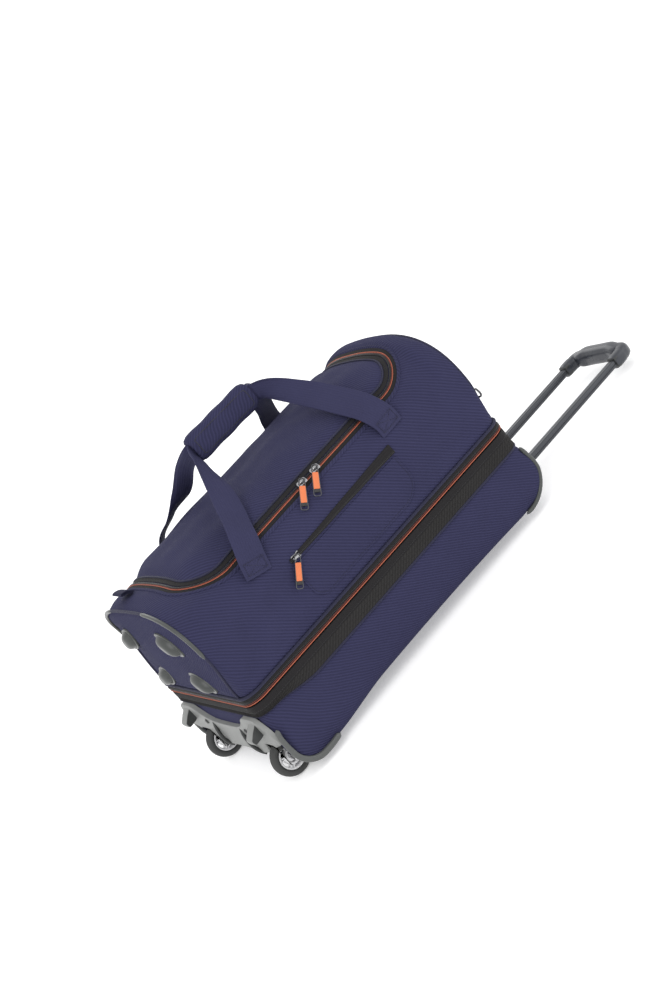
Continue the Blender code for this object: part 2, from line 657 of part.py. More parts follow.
def build_grip():
    """The pull handle's grip: a bowed bar between two sockets, with the release button in its outer face."""
    end = TUBE_Y
    bow = [
        (GRIP_X, -end), (GRIP_X + 16 * MM, -end), (GRIP_X + 30 * MM, -end + 7 * MM),
        (GRIP_BAR_X - 4 * MM, -end + 20 * MM), (GRIP_BAR_X, -end + 40 * MM), (GRIP_BAR_X, 0),
    ]
    bow += [(x, -y) for x, y in reversed(bow[:-1])]
    path = smooth_path([(x, y, TUBE_Z) for x, y in bow], 3)
    rings = []
    for i, point in enumerate(path):
        ahead = (path[min(i + 1, len(path) - 1)] - path[max(i - 1, 0)]).normalized()
        normal = Vector((0, 0, 1)).cross(ahead)
        half_thick, half_tall = 11.5 * MM, 13 * MM
        share = abs(point.y) / end
        half_thick -= 1.0 * MM * share
        half_tall -= 2.5 * MM * share
        outline = rounded_outline(-half_thick, half_thick, -half_tall, half_tall, (7 * MM,) * 4, 3)
        rings.append([point + normal * u + Vector((0, 0, v)) for u, v in outline])
    grip = add_object("pull_grip", loft_bm(rings), "dark_plastic", 40)
    for side, label in ((-1, "front"), (1, "back")):
        boolean(grip, cutter(f"cut_socket_{label}", box_bm(
            (GRIP_X - 20 * MM, side * TUBE_Y - 7.4 * MM, TUBE_Z - 5.9 * MM),
            (INNER_TUBE_X[1] + 0.5 * MM, side * TUBE_Y + 7.4 * MM, TUBE_Z + 5.9 * MM))))
    face = GRIP_BAR_X + 11.5 * MM
    boolean(grip, cutter("cut_button_well", box_bm(
        (face - 8 * MM, -16.5 * MM, TUBE_Z - 7.5 * MM), (face + 20 * MM, 16.5 * MM, TUBE_Z + 7.5 * MM))))
    add_box("release_button", (face - 2 * MM, -15.8 * MM, TUBE_Z - 6.8 * MM),
            (BUTTON_TOP_X, 15.8 * MM, TUBE_Z + 6.8 * MM), "dark_plastic", 2 * MM)


# ---------------------------------------------------------------- carry handles

def strap_points(side):
    """The webbing's middle line, from one sewn end over the joined grip to the other, and its width direction."""
    mid_y = HANDLE_GRIP.y + side * 3.6 * MM
    mouth_y = HANDLE_GRIP.y + side * 4.6 * MM
    grip_z = HANDLE_GRIP.z
    half = HANDLE_GRIP_LENGTH / 2
    left, right = HANDLE_GRIP.x - half, HANDLE_GRIP.x + half
    points = [
        (-STRAP_END_X - 8 * MM, side * 0.1560, 0.233), (-STRAP_END_X - 2 * MM, side * 0.1555, 0.253),
        (-0.114, side * 0.1440, 0.2795), (-0.097, side * 0.1180, 0.300), (-0.078, side * 0.0850, 0.325),
        (left - 12 * MM, side * 0.0380, 0.3535),
        (left - 2 * MM, mouth_y, grip_z - 1 * MM), (left + 20 * MM, mid_y, grip_z), (HANDLE_GRIP.x, mid_y, grip_z),
        (right - 20 * MM, mid_y, grip_z), (right + 2 * MM, mouth_y, grip_z - 1 * MM),
        (right + 18 * MM, side * 0.0330, 0.3575), (0.102, side * 0.0750, 0.327), (0.113, side * 0.1150, 0.300),
        (0.121, side * 0.1440, 0.2775),
        (STRAP_END_X - 1 * MM, side * 0.1560, 0.254), (STRAP_END_X, side * 0.1560, 0.235),
    ]
    return points


def build_carry_handles():
    for side, label in ((-1, "front"), (1, "back")):
        path = smooth_path(strap_points(side), 4)
        widths, leans = [], []
        left = HANDLE_GRIP.x - HANDLE_GRIP_LENGTH / 2
        right = HANDLE_GRIP.x + HANDLE_GRIP_LENGTH / 2
        for point in path:
            beyond = max(left - point.x, point.x - right, 0.0)
            share = min(beyond / (50 * MM), 1.0)
            share = share * share * (3 - 2 * share)
            widths.append(24 * MM + (STRAP_WIDTH - 24 * MM) * share)
            leans.append(min(beyond / (30 * MM), 1.0))
        rings = []
        for i, point in enumerate(path):
            ahead = path[min(i + 1, len(path) - 1)] - path[max(i - 1, 0)]
            edge = Vector((0, 0, -1)).lerp(Vector((ahead.z, 0, -ahead.x)).normalized(), leans[i]).normalized()
            normal = ahead.cross(edge).normalized()
            half_w, half_t = widths[i] / 2, STRAP_THICK / 2
            rings.append([point + edge * u + normal * v
                          for u, v in ((-half_w, -half_t), (half_w, -half_t), (half_w, half_t), (-half_w, half_t))])
        add_object(f"carry_strap_{label}", loft_bm(rings), "webbing",
                   origin=(0, side * (HALF_W + 2.4 * MM), STRAP_PIVOT_Z))

    half_tall, inner_tall = 20 * MM, 15 * MM
    y, z = HANDLE_GRIP.y, HANDLE_GRIP.z
    front, inner_front, back = y - 13 * MM, y - 8 * MM, y + 8.6 * MM
    channel = [
        (back, z - half_tall + 2 * MM), (back, z - inner_tall), (inner_front, z - inner_tall),
        (inner_front, z + inner_tall), (back, z + inner_tall), (back, z + half_tall - 2 * MM),
        (back - 5 * MM, z + half_tall), (front + 6 * MM, z + half_tall), (front + 1.5 * MM, z + half_tall - 5 * MM),
        (front, z + 6 * MM), (front, z - 6 * MM), (front + 1.5 * MM, z - half_tall + 5 * MM),
        (front + 6 * MM, z - half_tall), (back - 5 * MM, z - half_tall),
    ]
    low, high = HANDLE_GRIP.x - HANDLE_GRIP_LENGTH / 2, HANDLE_GRIP.x + HANDLE_GRIP_LENGTH / 2
    add_object("grip_wrap", prism_bm(channel, 0, low, high), "webbing",
               origin=(0, -HALF_W - 2.4 * MM, STRAP_PIVOT_Z))
    flap = [(back + GAP, z - 18 * MM), (back + GAP, z + 18 * MM), (back + 3.4 * MM, z + 15 * MM),
            (back + 4.4 * MM, z), (back + 3.4 * MM, z - 15 * MM)]
    add_object("grip_flap", prism_bm(flap, 0, low + 14 * MM, high - 14 * MM), "webbing",
               origin=(0, HALF_W + 2.4 * MM, STRAP_PIVOT_Z))


# ---------------------------------------------------------------- zip sliders, rings

def build_slider(name, place, normal, pull_normal, pull_direction, along=Vector((1, 0, 0))):
    """A slider body on the tape, and its puller, which lies square to pull_normal. place is on the tape."""
    normal, pull_normal = normal.normalized(), pull_normal.normalized()
    side = normal.cross(along).normalized()
    turn = Matrix((along, side, normal)).transposed().to_4x4()
    body = box_bm((-6 * MM, -3.6 * MM, 0.3 * MM), (6 * MM, 3.6 * MM, 4.6 * MM), 1 * MM, 1)
    body.transform(Matrix.Translation(place) @ turn)
    add_object(f"{name}_slider", body, "steel", origin=place)
    direction = (pull_direction - pull_normal * pull_direction.dot(pull_normal)).normalized()
    cross = pull_normal.cross(direction)
    pull_turn = Matrix((direction, cross, pull_normal)).transposed().to_4x4()
    pivot = place + normal * 5 * MM + pull_normal * 1 * MM
    plate = prism_bm(rounded_outline(-3 * MM, 41 * MM, -5 * MM, 5 * MM, (2.5 * MM,) * 4, 2), 2, 0, 1.8 * MM)
    plate.transform(Matrix.Translation(pivot) @ pull_turn)
    add_object(f"{name}_puller", plate, "orange_plastic", origin=pivot)


def lid_zip_place(x):
    """A point on the case side of the lid zip's front run, on top of its tape, and the surface normal there."""
    y = -(LID_Y + 4.8 * MM)
    slope = (surface_height(x, y + MM) - surface_height(x, y - MM)) / (2 * MM)
    normal = Vector((0, -slope, 1)).normalized()
    return Vector((x, y, surface_height(x, y))) + normal * TAPE_TO, normal


def build_sliders():
    hang = Vector((-0.64, 0, -0.77))
    front, shoulder = Vector((0, -1, 0)), Vector((0, -0.866, 0.5))
    for name, x in (("lid_zip_a", -8 * MM), ("lid_zip_b", 17 * MM)):
        place, normal = lid_zip_place(x)
        build_slider(name, place, normal, shoulder, hang)
    build_slider("pocket_zip", Vector((-86 * MM, -HALF_W - 2.0 * MM, 0.215)), front, front, hang)
    build_slider("expansion_zip", Vector((0.150, HALF_W + 2.0 * MM, 0.1265)), -front, -front,
                 Vector((0.64, 0, -0.77)), Vector((-1, 0, 0)))


def build_ring(name, root, outward, along, slot_tab):
    """A webbing tab sewn at root and a D-ring through it. outward leaves the case, along is the ring's straight bar."""
    outward, along = outward.normalized(), along.normalized()
    across = outward.cross(along)
    turn = Matrix((outward, along, across)).transposed().to_4x4()
    place = Matrix.Translation(root) @ turn
    tab = box_bm((0.5 * MM, -11 * MM, -1.2 * MM), (16 * MM, 11 * MM, 1.2 * MM), 0.4 * MM, 1)
    tab.transform(place)
    add_object(f"{name}_tab", tab, slot_tab)
    centre = Vector((18.2 * MM, 0, 0))
    path = [Vector((0, -13 * MM, 0))]
    for k in range(9):
        angle = math.radians(-90 + 180 * k / 8)
        path.append(Vector((3 * MM + 13 * MM * math.cos(angle), 13 * MM * math.sin(angle), 0)))
    path.append(Vector((0, 13 * MM, 0)))
    rings = []
    for i, point in enumerate(path):
        ahead = (path[(i + 1) % len(path)] - path[i - 1]).normalized()
        normal = Vector((0, 0, 1)).cross(ahead)
        rings.append([point + normal * 1.5 * MM * math.cos(a) + Vector((0, 0, 1.5 * MM * math.sin(a)))
                      for a in (2 * math.pi * k / 6 for k in range(6))])
    ring = loft_bm(rings, loop=True)
    ring.transform(place @ Matrix.Translation(centre))
    add_object(f"{name}_ring", ring, "steel", 60, origin=place @ centre)


def build_rings():
    add_box("wheel_end_tab", (-0.242, 6 * MM, 0.2905), (-0.220, 44 * MM, 0.3050), "webbing", 1.5 * MM)
    build_ring("handle_end", Vector((HALF_L + 2.2 * MM, -128 * MM, 0.200)), Vector((0.22, 0, -0.975)),
               Vector((0, 1, 0)), "webbing")


def main():
    clear_scene()
    frame = bpy.data.objects.new("bag_frame", None)
    bpy.context.scene.collection.objects.link(frame)
    frame.location = (-ORIGIN_X, 0, 0)
    build_base()
    build_case()
    build_front_pocket()
    build_wheel_end()
    for side, label in ((-1, "front"), (1, "back")):
        build_wheel(side, label)
    build_pull_handle()
    build_carry_handles()
    build_sliders()
    build_rings()


main()
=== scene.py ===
"""Looks of a softside wheeled travel bag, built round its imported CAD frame.

Sewn parts are laid out on one parametric case surface, so fabric, zips, piping and stitches meet exactly.
Case coordinates: x from the middle of the case, +Y back, +Z up; add_piece moves them into the row frame.
On the case, w runs along its length and s round its section, from 0 at the crest, with the front negative.
"""

import math

import bmesh
import bpy
import numpy as np
from mathutils import Matrix, Vector


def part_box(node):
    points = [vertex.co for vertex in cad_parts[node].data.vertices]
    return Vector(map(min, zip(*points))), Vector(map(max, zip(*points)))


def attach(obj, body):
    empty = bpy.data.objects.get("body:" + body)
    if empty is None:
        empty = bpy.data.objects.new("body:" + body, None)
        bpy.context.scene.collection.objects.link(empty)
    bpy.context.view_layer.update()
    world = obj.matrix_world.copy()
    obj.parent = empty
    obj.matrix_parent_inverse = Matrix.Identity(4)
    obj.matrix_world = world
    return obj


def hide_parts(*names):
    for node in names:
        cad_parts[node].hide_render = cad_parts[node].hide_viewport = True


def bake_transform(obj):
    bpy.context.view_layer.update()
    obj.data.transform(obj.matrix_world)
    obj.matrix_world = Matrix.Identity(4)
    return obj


MM = 0.001
TAU = 2 * math.pi

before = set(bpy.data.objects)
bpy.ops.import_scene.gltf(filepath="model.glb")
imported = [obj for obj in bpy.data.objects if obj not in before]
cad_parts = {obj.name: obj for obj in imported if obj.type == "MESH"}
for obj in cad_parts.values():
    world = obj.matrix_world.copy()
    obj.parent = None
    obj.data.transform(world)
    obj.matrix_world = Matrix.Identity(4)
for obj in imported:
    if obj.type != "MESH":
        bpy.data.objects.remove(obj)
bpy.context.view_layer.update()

# ---------------------------------------------------------------- driving dimensions

BAND_PROUD = 2.0 * MM             # how far the CAD's band stands out of the fabric
band_low, band_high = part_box("case_zip_band")
base_band_low, base_band_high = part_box("base_zip_band")
CENTRE_X = (band_low.x + band_high.x) / 2
HALF_L = (band_high.x - band_low.x) / 2 - BAND_PROUD
HALF_W = band_high.y - BAND_PROUD
BAND_TOP_Z = band_high.z          # lower edge of the case's fabric
CASE_RIM_Z = band_low.z           # where the case parts from the base
BASE_RIM_Z = base_band_high.z     # upper edge of the base's zip band
GUSSET_Z = base_band_low.z        # upper edge of the base's fabric
BAND_RISE = 12 * MM               # and how much higher that is at the wheel end
BASE_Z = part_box("base_shell")[0].z

WALL_TOP_Z = 205 * MM             # the case's walls are upright up to here
SECTION_POWER = 2.6               # of the superellipse above them
# The crest's height along x, in mm: it rises gently to the handle end.
CREST = [
    (-255, 284), (-230, 288), (-170, 294), (-50, 298), (80, 301),
    (180, 304), (225, 304), (245, 303), (255, 298),
]
CURVE_HEIGHT = 98 * MM            # of the section's curved part, for its arc length
PLAN_CORNER = 24 * MM             # radius of the upright corners at the zip band
SEAM_CORNER = 4 * MM              # and higher up, where they tighten into the end seams
BASE_CORNER_WHEEL = 30 * MM       # the base's lower corners, seen from the side
BASE_CORNER_HANDLE = 52 * MM
BASE_EDGE = 8 * MM                # its long lower edges
CORNER_TIGHT_Z = 45 * MM          # below this its upright corners are as tight as those edges

LID_X = (-206 * MM, 212 * MM)
LID_Y = 130 * MM
LID_CORNER_FRONT, LID_CORNER_BACK = 55 * MM, 20 * MM
ZIP_END_Y = 118 * MM              # the lid zip stops this far back

FABRIC = 2.0 * MM                 # thickness of the padded cloth
RIB_PITCH = 4.0 * MM
YARN_PITCH = 1.3 * MM
STITCH = (0.7 * MM, 0.3 * MM)     # thread: across, high
STITCH_PITCH = 3.2 * MM
COIL = (3.4 * MM, 0.9 * MM)       # zip coil: across, high
COIL_PITCH = 1.9 * MM
COIL_DUTY, COIL_LEAN = 0.62, 0.16 # a tooth's share of the pitch, and its slant
CORD, LINE = 0.62 * MM, 0.45 * MM # radii of the orange cord and the thin red line beside a zip

SIDES = ((-1, "front"), (1, "back"))
ENDS = ((-1, "wheel_end"), (1, "handle_end"))


def case_box(node):
    """A CAD node's lowest and highest corner, in case coordinates."""
    return tuple(np.array(corner) - (CENTRE_X, 0, 0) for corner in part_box(node))


# ---------------------------------------------------------------- materials

class Shader:
    """A Principled material with short calls for its nodes."""

    def __init__(self, name, roughness, metallic=0.0, specular=0.5, sheen=0.0):
        self.material = bpy.data.materials.new(name)
        self.material.use_nodes = True
        self.tree = self.material.node_tree
        self.surface = self.tree.nodes["Principled BSDF"]
        self.surface.inputs["Roughness"].default_value = roughness
        self.surface.inputs["Metallic"].default_value = metallic
        self.surface.inputs["Specular IOR Level"].default_value = specular
        self.surface.inputs["Sheen Weight"].default_value = sheen
        self.surface.inputs["Sheen Roughness"].default_value = 0.45

    def node(self, kind, inputs=(), **settings):
        made = self.tree.nodes.new(kind)
        for key, value in settings.items():
            setattr(made, key, value)
        for key, value in dict(inputs).items():
            self.feed(made.inputs[key], value)
        return made

    def feed(self, socket, value):
        if isinstance(value, bpy.types.NodeSocket):
            self.tree.links.new(value, socket)
        else:
            socket.default_value = value

    def math(self, operation, *values):
        return self.node("ShaderNodeMath", enumerate(values), operation=operation).outputs[0]

    def weave(self):
        """The cloth's own coordinates, in metres, as (across, along) sockets."""
        attribute = self.node("ShaderNodeAttribute", attribute_name="weave")
        split = self.node("ShaderNodeSeparateXYZ", {0: attribute.outputs["Vector"]})
        return split.outputs[0], split.outputs[1]

    def noise(self, scale, detail, stretch=None):
        place = self.node("ShaderNodeTexCoord").outputs["Object"]
        if stretch:
            place = self.node("ShaderNodeVectorMath", {0: place, 1: stretch}, operation="MULTIPLY").outputs[0]
        inputs = {"Vector": place, "Scale": scale, "Detail": detail, "Roughness": 0.55}
        return self.node("ShaderNodeTexNoise", inputs).outputs["Fac"]

    def wave(self, across, along, pitch, degrees):
        """A sine of that pitch whose lines lie at that angle to the along direction."""
        angle = math.radians(degrees)
        phase = self.math("ADD", self.math("MULTIPLY", across, TAU * math.cos(angle) / pitch),
                          self.math("MULTIPLY", along, TAU * math.sin(angle) / pitch))
        return self.math("SINE", phase)

    def total(self, *terms):
        """Sum of (socket, weight) terms."""
        result = None
        for socket, weight in terms:
            term = self.math("MULTIPLY", socket, weight)
            result = term if result is None else self.math("ADD", result, term)
        return result

    def colours(self, share, stops):
        ramp = self.node("ShaderNodeValToRGB", {0: share})
        elements = ramp.color_ramp.elements
        while len(elements) < len(stops):
            elements.new(0.5)
        for element, (position, colour) in zip(elements, stops):
            element.position = position
            element.color = (*colour, 1)
        self.feed(self.surface.inputs["Base Color"], ramp.outputs["Color"])

    def rough(self, share, low, high):
        spread = self.math("ADD", self.math("MULTIPLY", share, high - low), low)
        self.feed(self.surface.inputs["Roughness"], spread)

    def bump(self, height, distance, strength=1.0):
        made = self.node("ShaderNodeBump", {"Height": height, "Distance": distance, "Strength": strength})
        self.feed(self.surface.inputs["Normal"], made.outputs["Normal"])


def shades(colour, spread):
    """Three ramp stops round a colour."""
    low, high = 1 - spread, 1 + spread
    return [(0.0, [c * low for c in colour]), (0.5, list(colour)), (1.0, [min(c * high, 1) for c in colour])]


def fabric_material(name, colour, rib_depth=1.0, spread=0.22):
    """A plain woven polyester with a shallow diagonal rib."""
    made = Shader(name, roughness=0.90, specular=0.06, sheen=0.01)
    across, along = made.weave()
    rib = made.wave(across, along, RIB_PITCH, 45)
    warp, weft = (made.wave(across, along, YARN_PITCH, degrees) for degrees in (0, 90))
    yarn = made.math("MULTIPLY", warp, weft)
    cloud = made.noise(14, 4)
    slub = made.noise(700, 2)
    share = made.total((rib, 0.36 * rib_depth), (yarn, 0.10), (cloud, 0.55), (slub, 0.45))
    made.colours(share, shades(colour, spread))
    made.rough(slub, 0.74, 0.92)
    made.bump(made.total((rib, 0.8 * rib_depth), (yarn, 0.30), (slub, 0.5)), 0.30 * MM, 1.0)
    return made.material


def webbing_material(name, colour):
    """Woven tape with herringbone lines that turn at each rib."""
    made = Shader(name, roughness=0.86, specular=0.10, sheen=0.01)
    across, along = made.weave()
    zigzag = made.math("PINGPONG", made.math("ADD", across, 1.0), 3.2 * MM)
    lines = made.math("SINE", made.math("MULTIPLY", made.math("ADD", zigzag, along), TAU / (2.0 * MM)))
    ribs = made.math("SINE", made.math("MULTIPLY", across, TAU / (3.2 * MM)))
    slub = made.noise(500, 2)
    cloud = made.noise(20, 3)
    made.colours(made.total((lines, 0.14), (ribs, 0.07), (cloud, 0.5), (slub, 0.5)), shades(colour, 0.24))
    made.rough(slub, 0.7, 0.9)
    made.bump(made.total((lines, 0.5), (ribs, 0.3), (slub, 0.3)), 0.25 * MM, 0.8)
    return made.material


def tape_material(name, colour):
    """Zip tape: fine ribs across, with a soft mottle."""
    made = Shader(name, roughness=0.88, specular=0.15, sheen=0.03)
    across, along = made.weave()
    ribs = made.wave(across, along, 1.6 * MM, 90)
    cords = made.wave(across, along, 1.8 * MM, 0)
    slub = made.noise(600, 3)
    made.colours(made.total((ribs, 0.12), (cords, 0.12), (slub, 1.0)), shades(colour, 0.35))
    made.rough(slub, 0.75, 0.95)
    made.bump(made.total((ribs, 0.5), (cords, 0.5), (slub, 0.3)), 0.2 * MM, 0.8)
    return made.material


def cord_material(name, colour, roughness=0.6):
    """Covered piping or thread, with a fine twist."""
    made = Shader(name, roughness=roughness, specular=0.25, sheen=0.03)
    across, along = made.weave()
    twist = made.wave(across, along, 1.4 * MM, 60)
    slub = made.noise(500, 2)
    made.colours(made.total((twist, 0.15), (slub, 1.0)), shades(colour, 0.2))
    made.rough(slub, roughness - 0.08, roughness + 0.1)
    made.bump(twist, 0.1 * MM, 0.7)
    return made.material


def plastic_material(name, colour, roughness=0.45, grain=0.06 * MM, spread=0.12, scale=1400, edge_highlight=0.0):
    """Moulded plastic with a spark-eroded grain. Its sharp edges get a painted highlight, paler by the last
    argument's amount.
    """
    made = Shader(name, roughness=roughness, specular=0.45)
    grit = made.noise(scale, 2)
    cloud = made.noise(25, 3)
    share = made.total((grit, 0.45), (cloud, 0.55))
    # Painted highlight: sharp edges, found by their pointiness, are made paler.
    if edge_highlight:
        edge = made.node("ShaderNodeNewGeometry").outputs["Pointiness"]
        painted_edge_highlight = made.node("ShaderNodeMapRange", {0: edge, 1: 0.52, 2: 0.60, 3: 0.0, 4: edge_highlight}).outputs[0]
        share = made.math("ADD", share, painted_edge_highlight)
    made.colours(share, shades(colour, spread))
    made.rough(cloud, roughness - 0.07, roughness + 0.09)
    made.bump(grit, grain, 0.6)
    return made.material


def metal_material(name, colour, roughness, stretch):
    """Drawn or polished metal: fine lines along one direction."""
    made = Shader(name, roughness=roughness, metallic=0.95)
    lines = made.noise(1.0, 4, stretch=stretch)
    made.colours(lines, shades(colour, 0.12))
    made.rough(lines, roughness - 0.06, roughness + 0.08)
    made.bump(lines, 0.03 * MM, 0.5)
    return made.material


NAVY = (0.033, 0.033, 0.074)
BLACK = (0.016, 0.015, 0.016)
navy_fabric = fabric_material("navy_fabric_ribbed", NAVY)
navy_trim = cord_material("navy_trim", [0.62 * c for c in NAVY], 0.7)
navy_thread = cord_material("navy_thread", [0.62 * c for c in NAVY], 0.6)
lining = tape_material("black_lining", (0.018, 0.018, 0.02))
black_tape = tape_material("black_tape", BLACK)
red_line = cord_material("red_line", (0.16, 0.035, 0.025), 0.6)
gusset_fabric = fabric_material("black_gusset", (0.026, 0.025, 0.025), 0.8, 0.3)
webbing = webbing_material("navy_webbing", NAVY)
webbing_dark = webbing_material("navy_webbing_dark", [0.6 * c for c in NAVY])
coil_nylon = plastic_material("black_coil", (0.016, 0.016, 0.017), 0.38)
orange_cord = cord_material("orange_cord", (0.42, 0.11, 0.06), 0.55)
orange_plastic = plastic_material("orange_plastic_moulded", (0.62, 0.16, 0.055), 0.40, spread=0.08)
black_rubber = plastic_material("black_rubber", (0.02, 0.02, 0.021), 0.55)
# Painted highlights: the housing, rail and foot plastics get paler sharp edges.
housing_plastic = plastic_material("housing_plastic_moulded", (0.20, 0.205, 0.20), 0.5, edge_highlight=0.5, spread=0.15)
rail_plastic = plastic_material("rail_plastic_moulded", (0.075, 0.079, 0.077), 0.45, edge_highlight=0.6, spread=0.15)
foot_plastic = plastic_material("foot_plastic_moulded", (0.048, 0.052, 0.050), 0.30, edge_highlight=0.6, spread=0.15)
dark_plastic = plastic_material("dark_plastic_moulded", (0.028, 0.030, 0.030), 0.40)
grip_plastic = plastic_material("grip_plastic_moulded", (0.030, 0.033, 0.042), 0.26, grain=0.03 * MM)
tyre_rubber = plastic_material("tyre_rubber_moulded", (0.036, 0.037, 0.037), 0.65, grain=0.1 * MM)
hub_plastic = plastic_material("hub_plastic_moulded", (0.72, 0.72, 0.73), 0.3, spread=0.05)
tube_metal = metal_material("tube_metal_brushed", (0.075, 0.078, 0.086), 0.30, (6, 900, 900))
steel = metal_material("steel_polished", (0.56, 0.56, 0.57), 0.24, (300, 300, 300))
gunmetal = metal_material("gunmetal", (0.10, 0.10, 0.105), 0.28, (300, 300, 300))
slider_metal = metal_material("slider_metal", (0.36, 0.36, 0.37), 0.18, (300, 300, 300))


# ---------------------------------------------------------------- mesh helpers

def grid_faces(rows, columns, wrap_rows=False, wrap_columns=False, first=0):
    """Quads of a grid of points, whose first point has that index."""
    faces = []
    for i in range(rows if wrap_rows else rows - 1):
        for j in range(columns if wrap_columns else columns - 1):
            a, b = first + i * columns, first + (i + 1) % rows * columns
            k = (j + 1) % columns
            faces.append((a + j, a + k, b + k, b + j))
    return faces


def add_piece(name, points, faces, material, body=None, slot=None, replaces=(), weave=None, smooth=40,
              facing=None, merge=0.02 * MM):
    """A mesh piece from case coordinates. Open sheets turn away from facing, a point inside them."""
    points = np.asarray(points, float).reshape(-1, 3)
    mesh = bpy.data.meshes.new(name)
    mesh.from_pydata((points + (CENTRE_X, 0, 0)).tolist(), [], faces)
    cloth = np.zeros((len(points), 3))
    if weave is not None:
        cloth[:, :2] = np.asarray(weave, float).reshape(-1, 2)
    mesh.attributes.new("weave", "FLOAT_VECTOR", "POINT").data.foreach_set("vector", cloth.ravel())
    bm = bmesh.new()
    bm.from_mesh(mesh)
    bmesh.ops.remove_doubles(bm, verts=bm.verts, dist=merge)
    bmesh.ops.dissolve_degenerate(bm, edges=bm.edges, dist=1e-7)
    if facing is None:
        bmesh.ops.recalc_face_normals(bm, faces=bm.faces)
    else:
        inside = Vector(facing) + Vector((CENTRE_X, 0, 0))
        away = sum(face.normal.dot(face.calc_center_median() - inside) * face.calc_area()
                   for face in bm.faces)
        if away < 0:
            bmesh.ops.reverse_faces(bm, faces=bm.faces)
    bm.to_mesh(mesh)
    bm.free()
    mesh.shade_smooth()
    mesh.set_sharp_from_angle(angle=math.radians(smooth))
    obj = bpy.data.objects.new(name, mesh)
    bpy.context.scene.collection.objects.link(obj)
    for entry in material if isinstance(material, (list, tuple)) else [material]:
        mesh.materials.append(entry)
    if body:
        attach(obj, body)
    if replaces:
        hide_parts(*replaces)
    return obj


def add_part(name, part, material, body, slot, replaces=(), smooth=40):
    """A solid piece from a (points, faces) part."""
    return add_piece(name, *part, material, body, slot, replaces, smooth=smooth)


def lined_sheet(name, points, faces, body, replaces, weave, merge=0.02 * MM, thickness=FABRIC):
    """A sheet of the bag's fabric, with its thickness inwards and its inner side lined."""
    sheet = add_piece(name, points, faces, [navy_fabric, lining], body, "navy_fabric", replaces, weave,
                      SHEET_ANGLE, CASE_MIDDLE, merge)
    solid = sheet.modifiers.new("thickness", "SOLIDIFY")
    solid.thickness = thickness
    solid.offset = -1
    solid.material_offset = 1
    return sheet


def flat_ring(outline, z):
    """A plane outline at that height."""
    return np.column_stack([outline, np.full(len(outline), z)])


def upright_ring(x, outline):
    """A (y, z) outline at that x."""
    return np.column_stack([np.full(len(outline), x), outline])


def loft(rings):
    """Points and faces of a skin through rings of equal point counts, with flat faces at its two ends."""
    rings = np.asarray(rings, float)
    rows, columns = rings.shape[:2]
    faces = grid_faces(rows, columns, wrap_columns=True)
    faces.append(tuple(range(columns))[::-1])
    faces.append(tuple((rows - 1) * columns + j for j in range(columns)))
    return rings.reshape(-1, 3), faces


def merge_parts(parts):
    """Joins (points, faces) parts into one."""
    points, faces, count = [], [], 0
    for part_points, part_faces in parts:
        points.append(part_points)
        faces += [tuple(index + count for index in face) for face in part_faces]
        count += len(part_points)
    return np.concatenate(points), faces


def unit(vectors):
    """The vectors with length 1."""
    vectors = np.asarray(vectors, float)
    return vectors / np.maximum(np.linalg.norm(vectors, axis=-1, keepdims=True), 1e-12)


def smoothstep(value, low, high):
    """0 below low and 1 above high, with a smooth change between."""
    share = np.clip((np.asarray(value, float) - low) / (high - low), 0, 1)
    return share * share * (3 - 2 * share)


def bell(value, width):
    """1 at 0, falling smoothly to almost nothing at twice the width."""
    return np.exp(-(np.asarray(value) / width) ** 2)


def curve_through(points, spacing):
    """Points about spacing apart along a Catmull-Rom curve through the given points."""
    given = np.asarray(points, float)
    padded = np.vstack([2 * given[0] - given[1], given, 2 * given[-1] - given[-2]])
    path = []
    for i in range(1, len(padded) - 2):
        p0, p1, p2, p3 = padded[i - 1:i + 3]
        t = np.linspace(0, 1, 24, endpoint=False)[:, None]
        path.append(0.5 * (2 * p1 + (p2 - p0) * t + (2 * p0 - 5 * p1 + 4 * p2 - p3) * t ** 2
                           + (3 * p1 - p0 - 3 * p2 + p3) * t ** 3))
    path.append(given[-1:])
    return respace(np.vstack(path), spacing)


def respace(path, spacing, closed=False):
    """The same path with evenly spaced points."""
    if closed:
        path = np.vstack([path, path[:1]])
    length = path_length(path)
    count = max(int(round(length[-1] / spacing)), 2)
    wanted = np.linspace(0, length[-1], count + 1)
    made = np.stack([np.interp(wanted, length, path[:, k]) for k in range(path.shape[1])], axis=1)
    return made[:-1] if closed else made


def path_length(path):
    """The run from a path's start to each of its points."""
    return np.concatenate([[0], np.cumsum(np.linalg.norm(np.diff(path, axis=0), axis=1))])


def cloth_grid(across, along):
    """The weave coordinates of a grid: along runs down its rows, and across over its columns."""
    return np.stack(np.broadcast_arrays(np.asarray(across)[None], np.asarray(along)[:, None]), axis=2)


def tangents(path, closed=False):
    if closed:
        return unit(np.roll(path, -1, axis=0) - np.roll(path, 1, axis=0))
    return unit(np.gradient(path, axis=0))


def outward_normals(outline):
    """Normals of a closed anticlockwise plane outline."""
    ahead = tangents(outline, closed=True)
    return np.stack([ahead[:, 1], -ahead[:, 0]], axis=1)


def sweep(path, side, profile, scales=None, closed=False):
    """Rings along a path: profile holds (side, normal) offsets, and side is the sideways direction."""
    if np.ndim(side) == 1:
        side = np.tile(np.asarray(side, float), (len(path), 1))
    ahead = tangents(path, closed)
    normal = unit(np.cross(ahead, side))
    side = unit(np.cross(normal, ahead))
    profile = np.asarray(profile, float)
    if profile.ndim == 2:
        profile = np.repeat(profile[None], len(path), axis=0)
    if scales is not None:
        profile = profile * np.asarray(scales)[:, None, None]
    return path[:, None] + side[:, None] * profile[:, :, :1] + normal[:, None] * profile[:, :, 1:]


def squared(angle, power):
    """Cosines and sines of a superellipse: power 1 is a circle, and lower is squarer."""
    cos, sin = np.cos(angle), np.sin(angle)
    return np.sign(cos) * np.abs(cos) ** power, np.sign(sin) * np.abs(sin) ** power


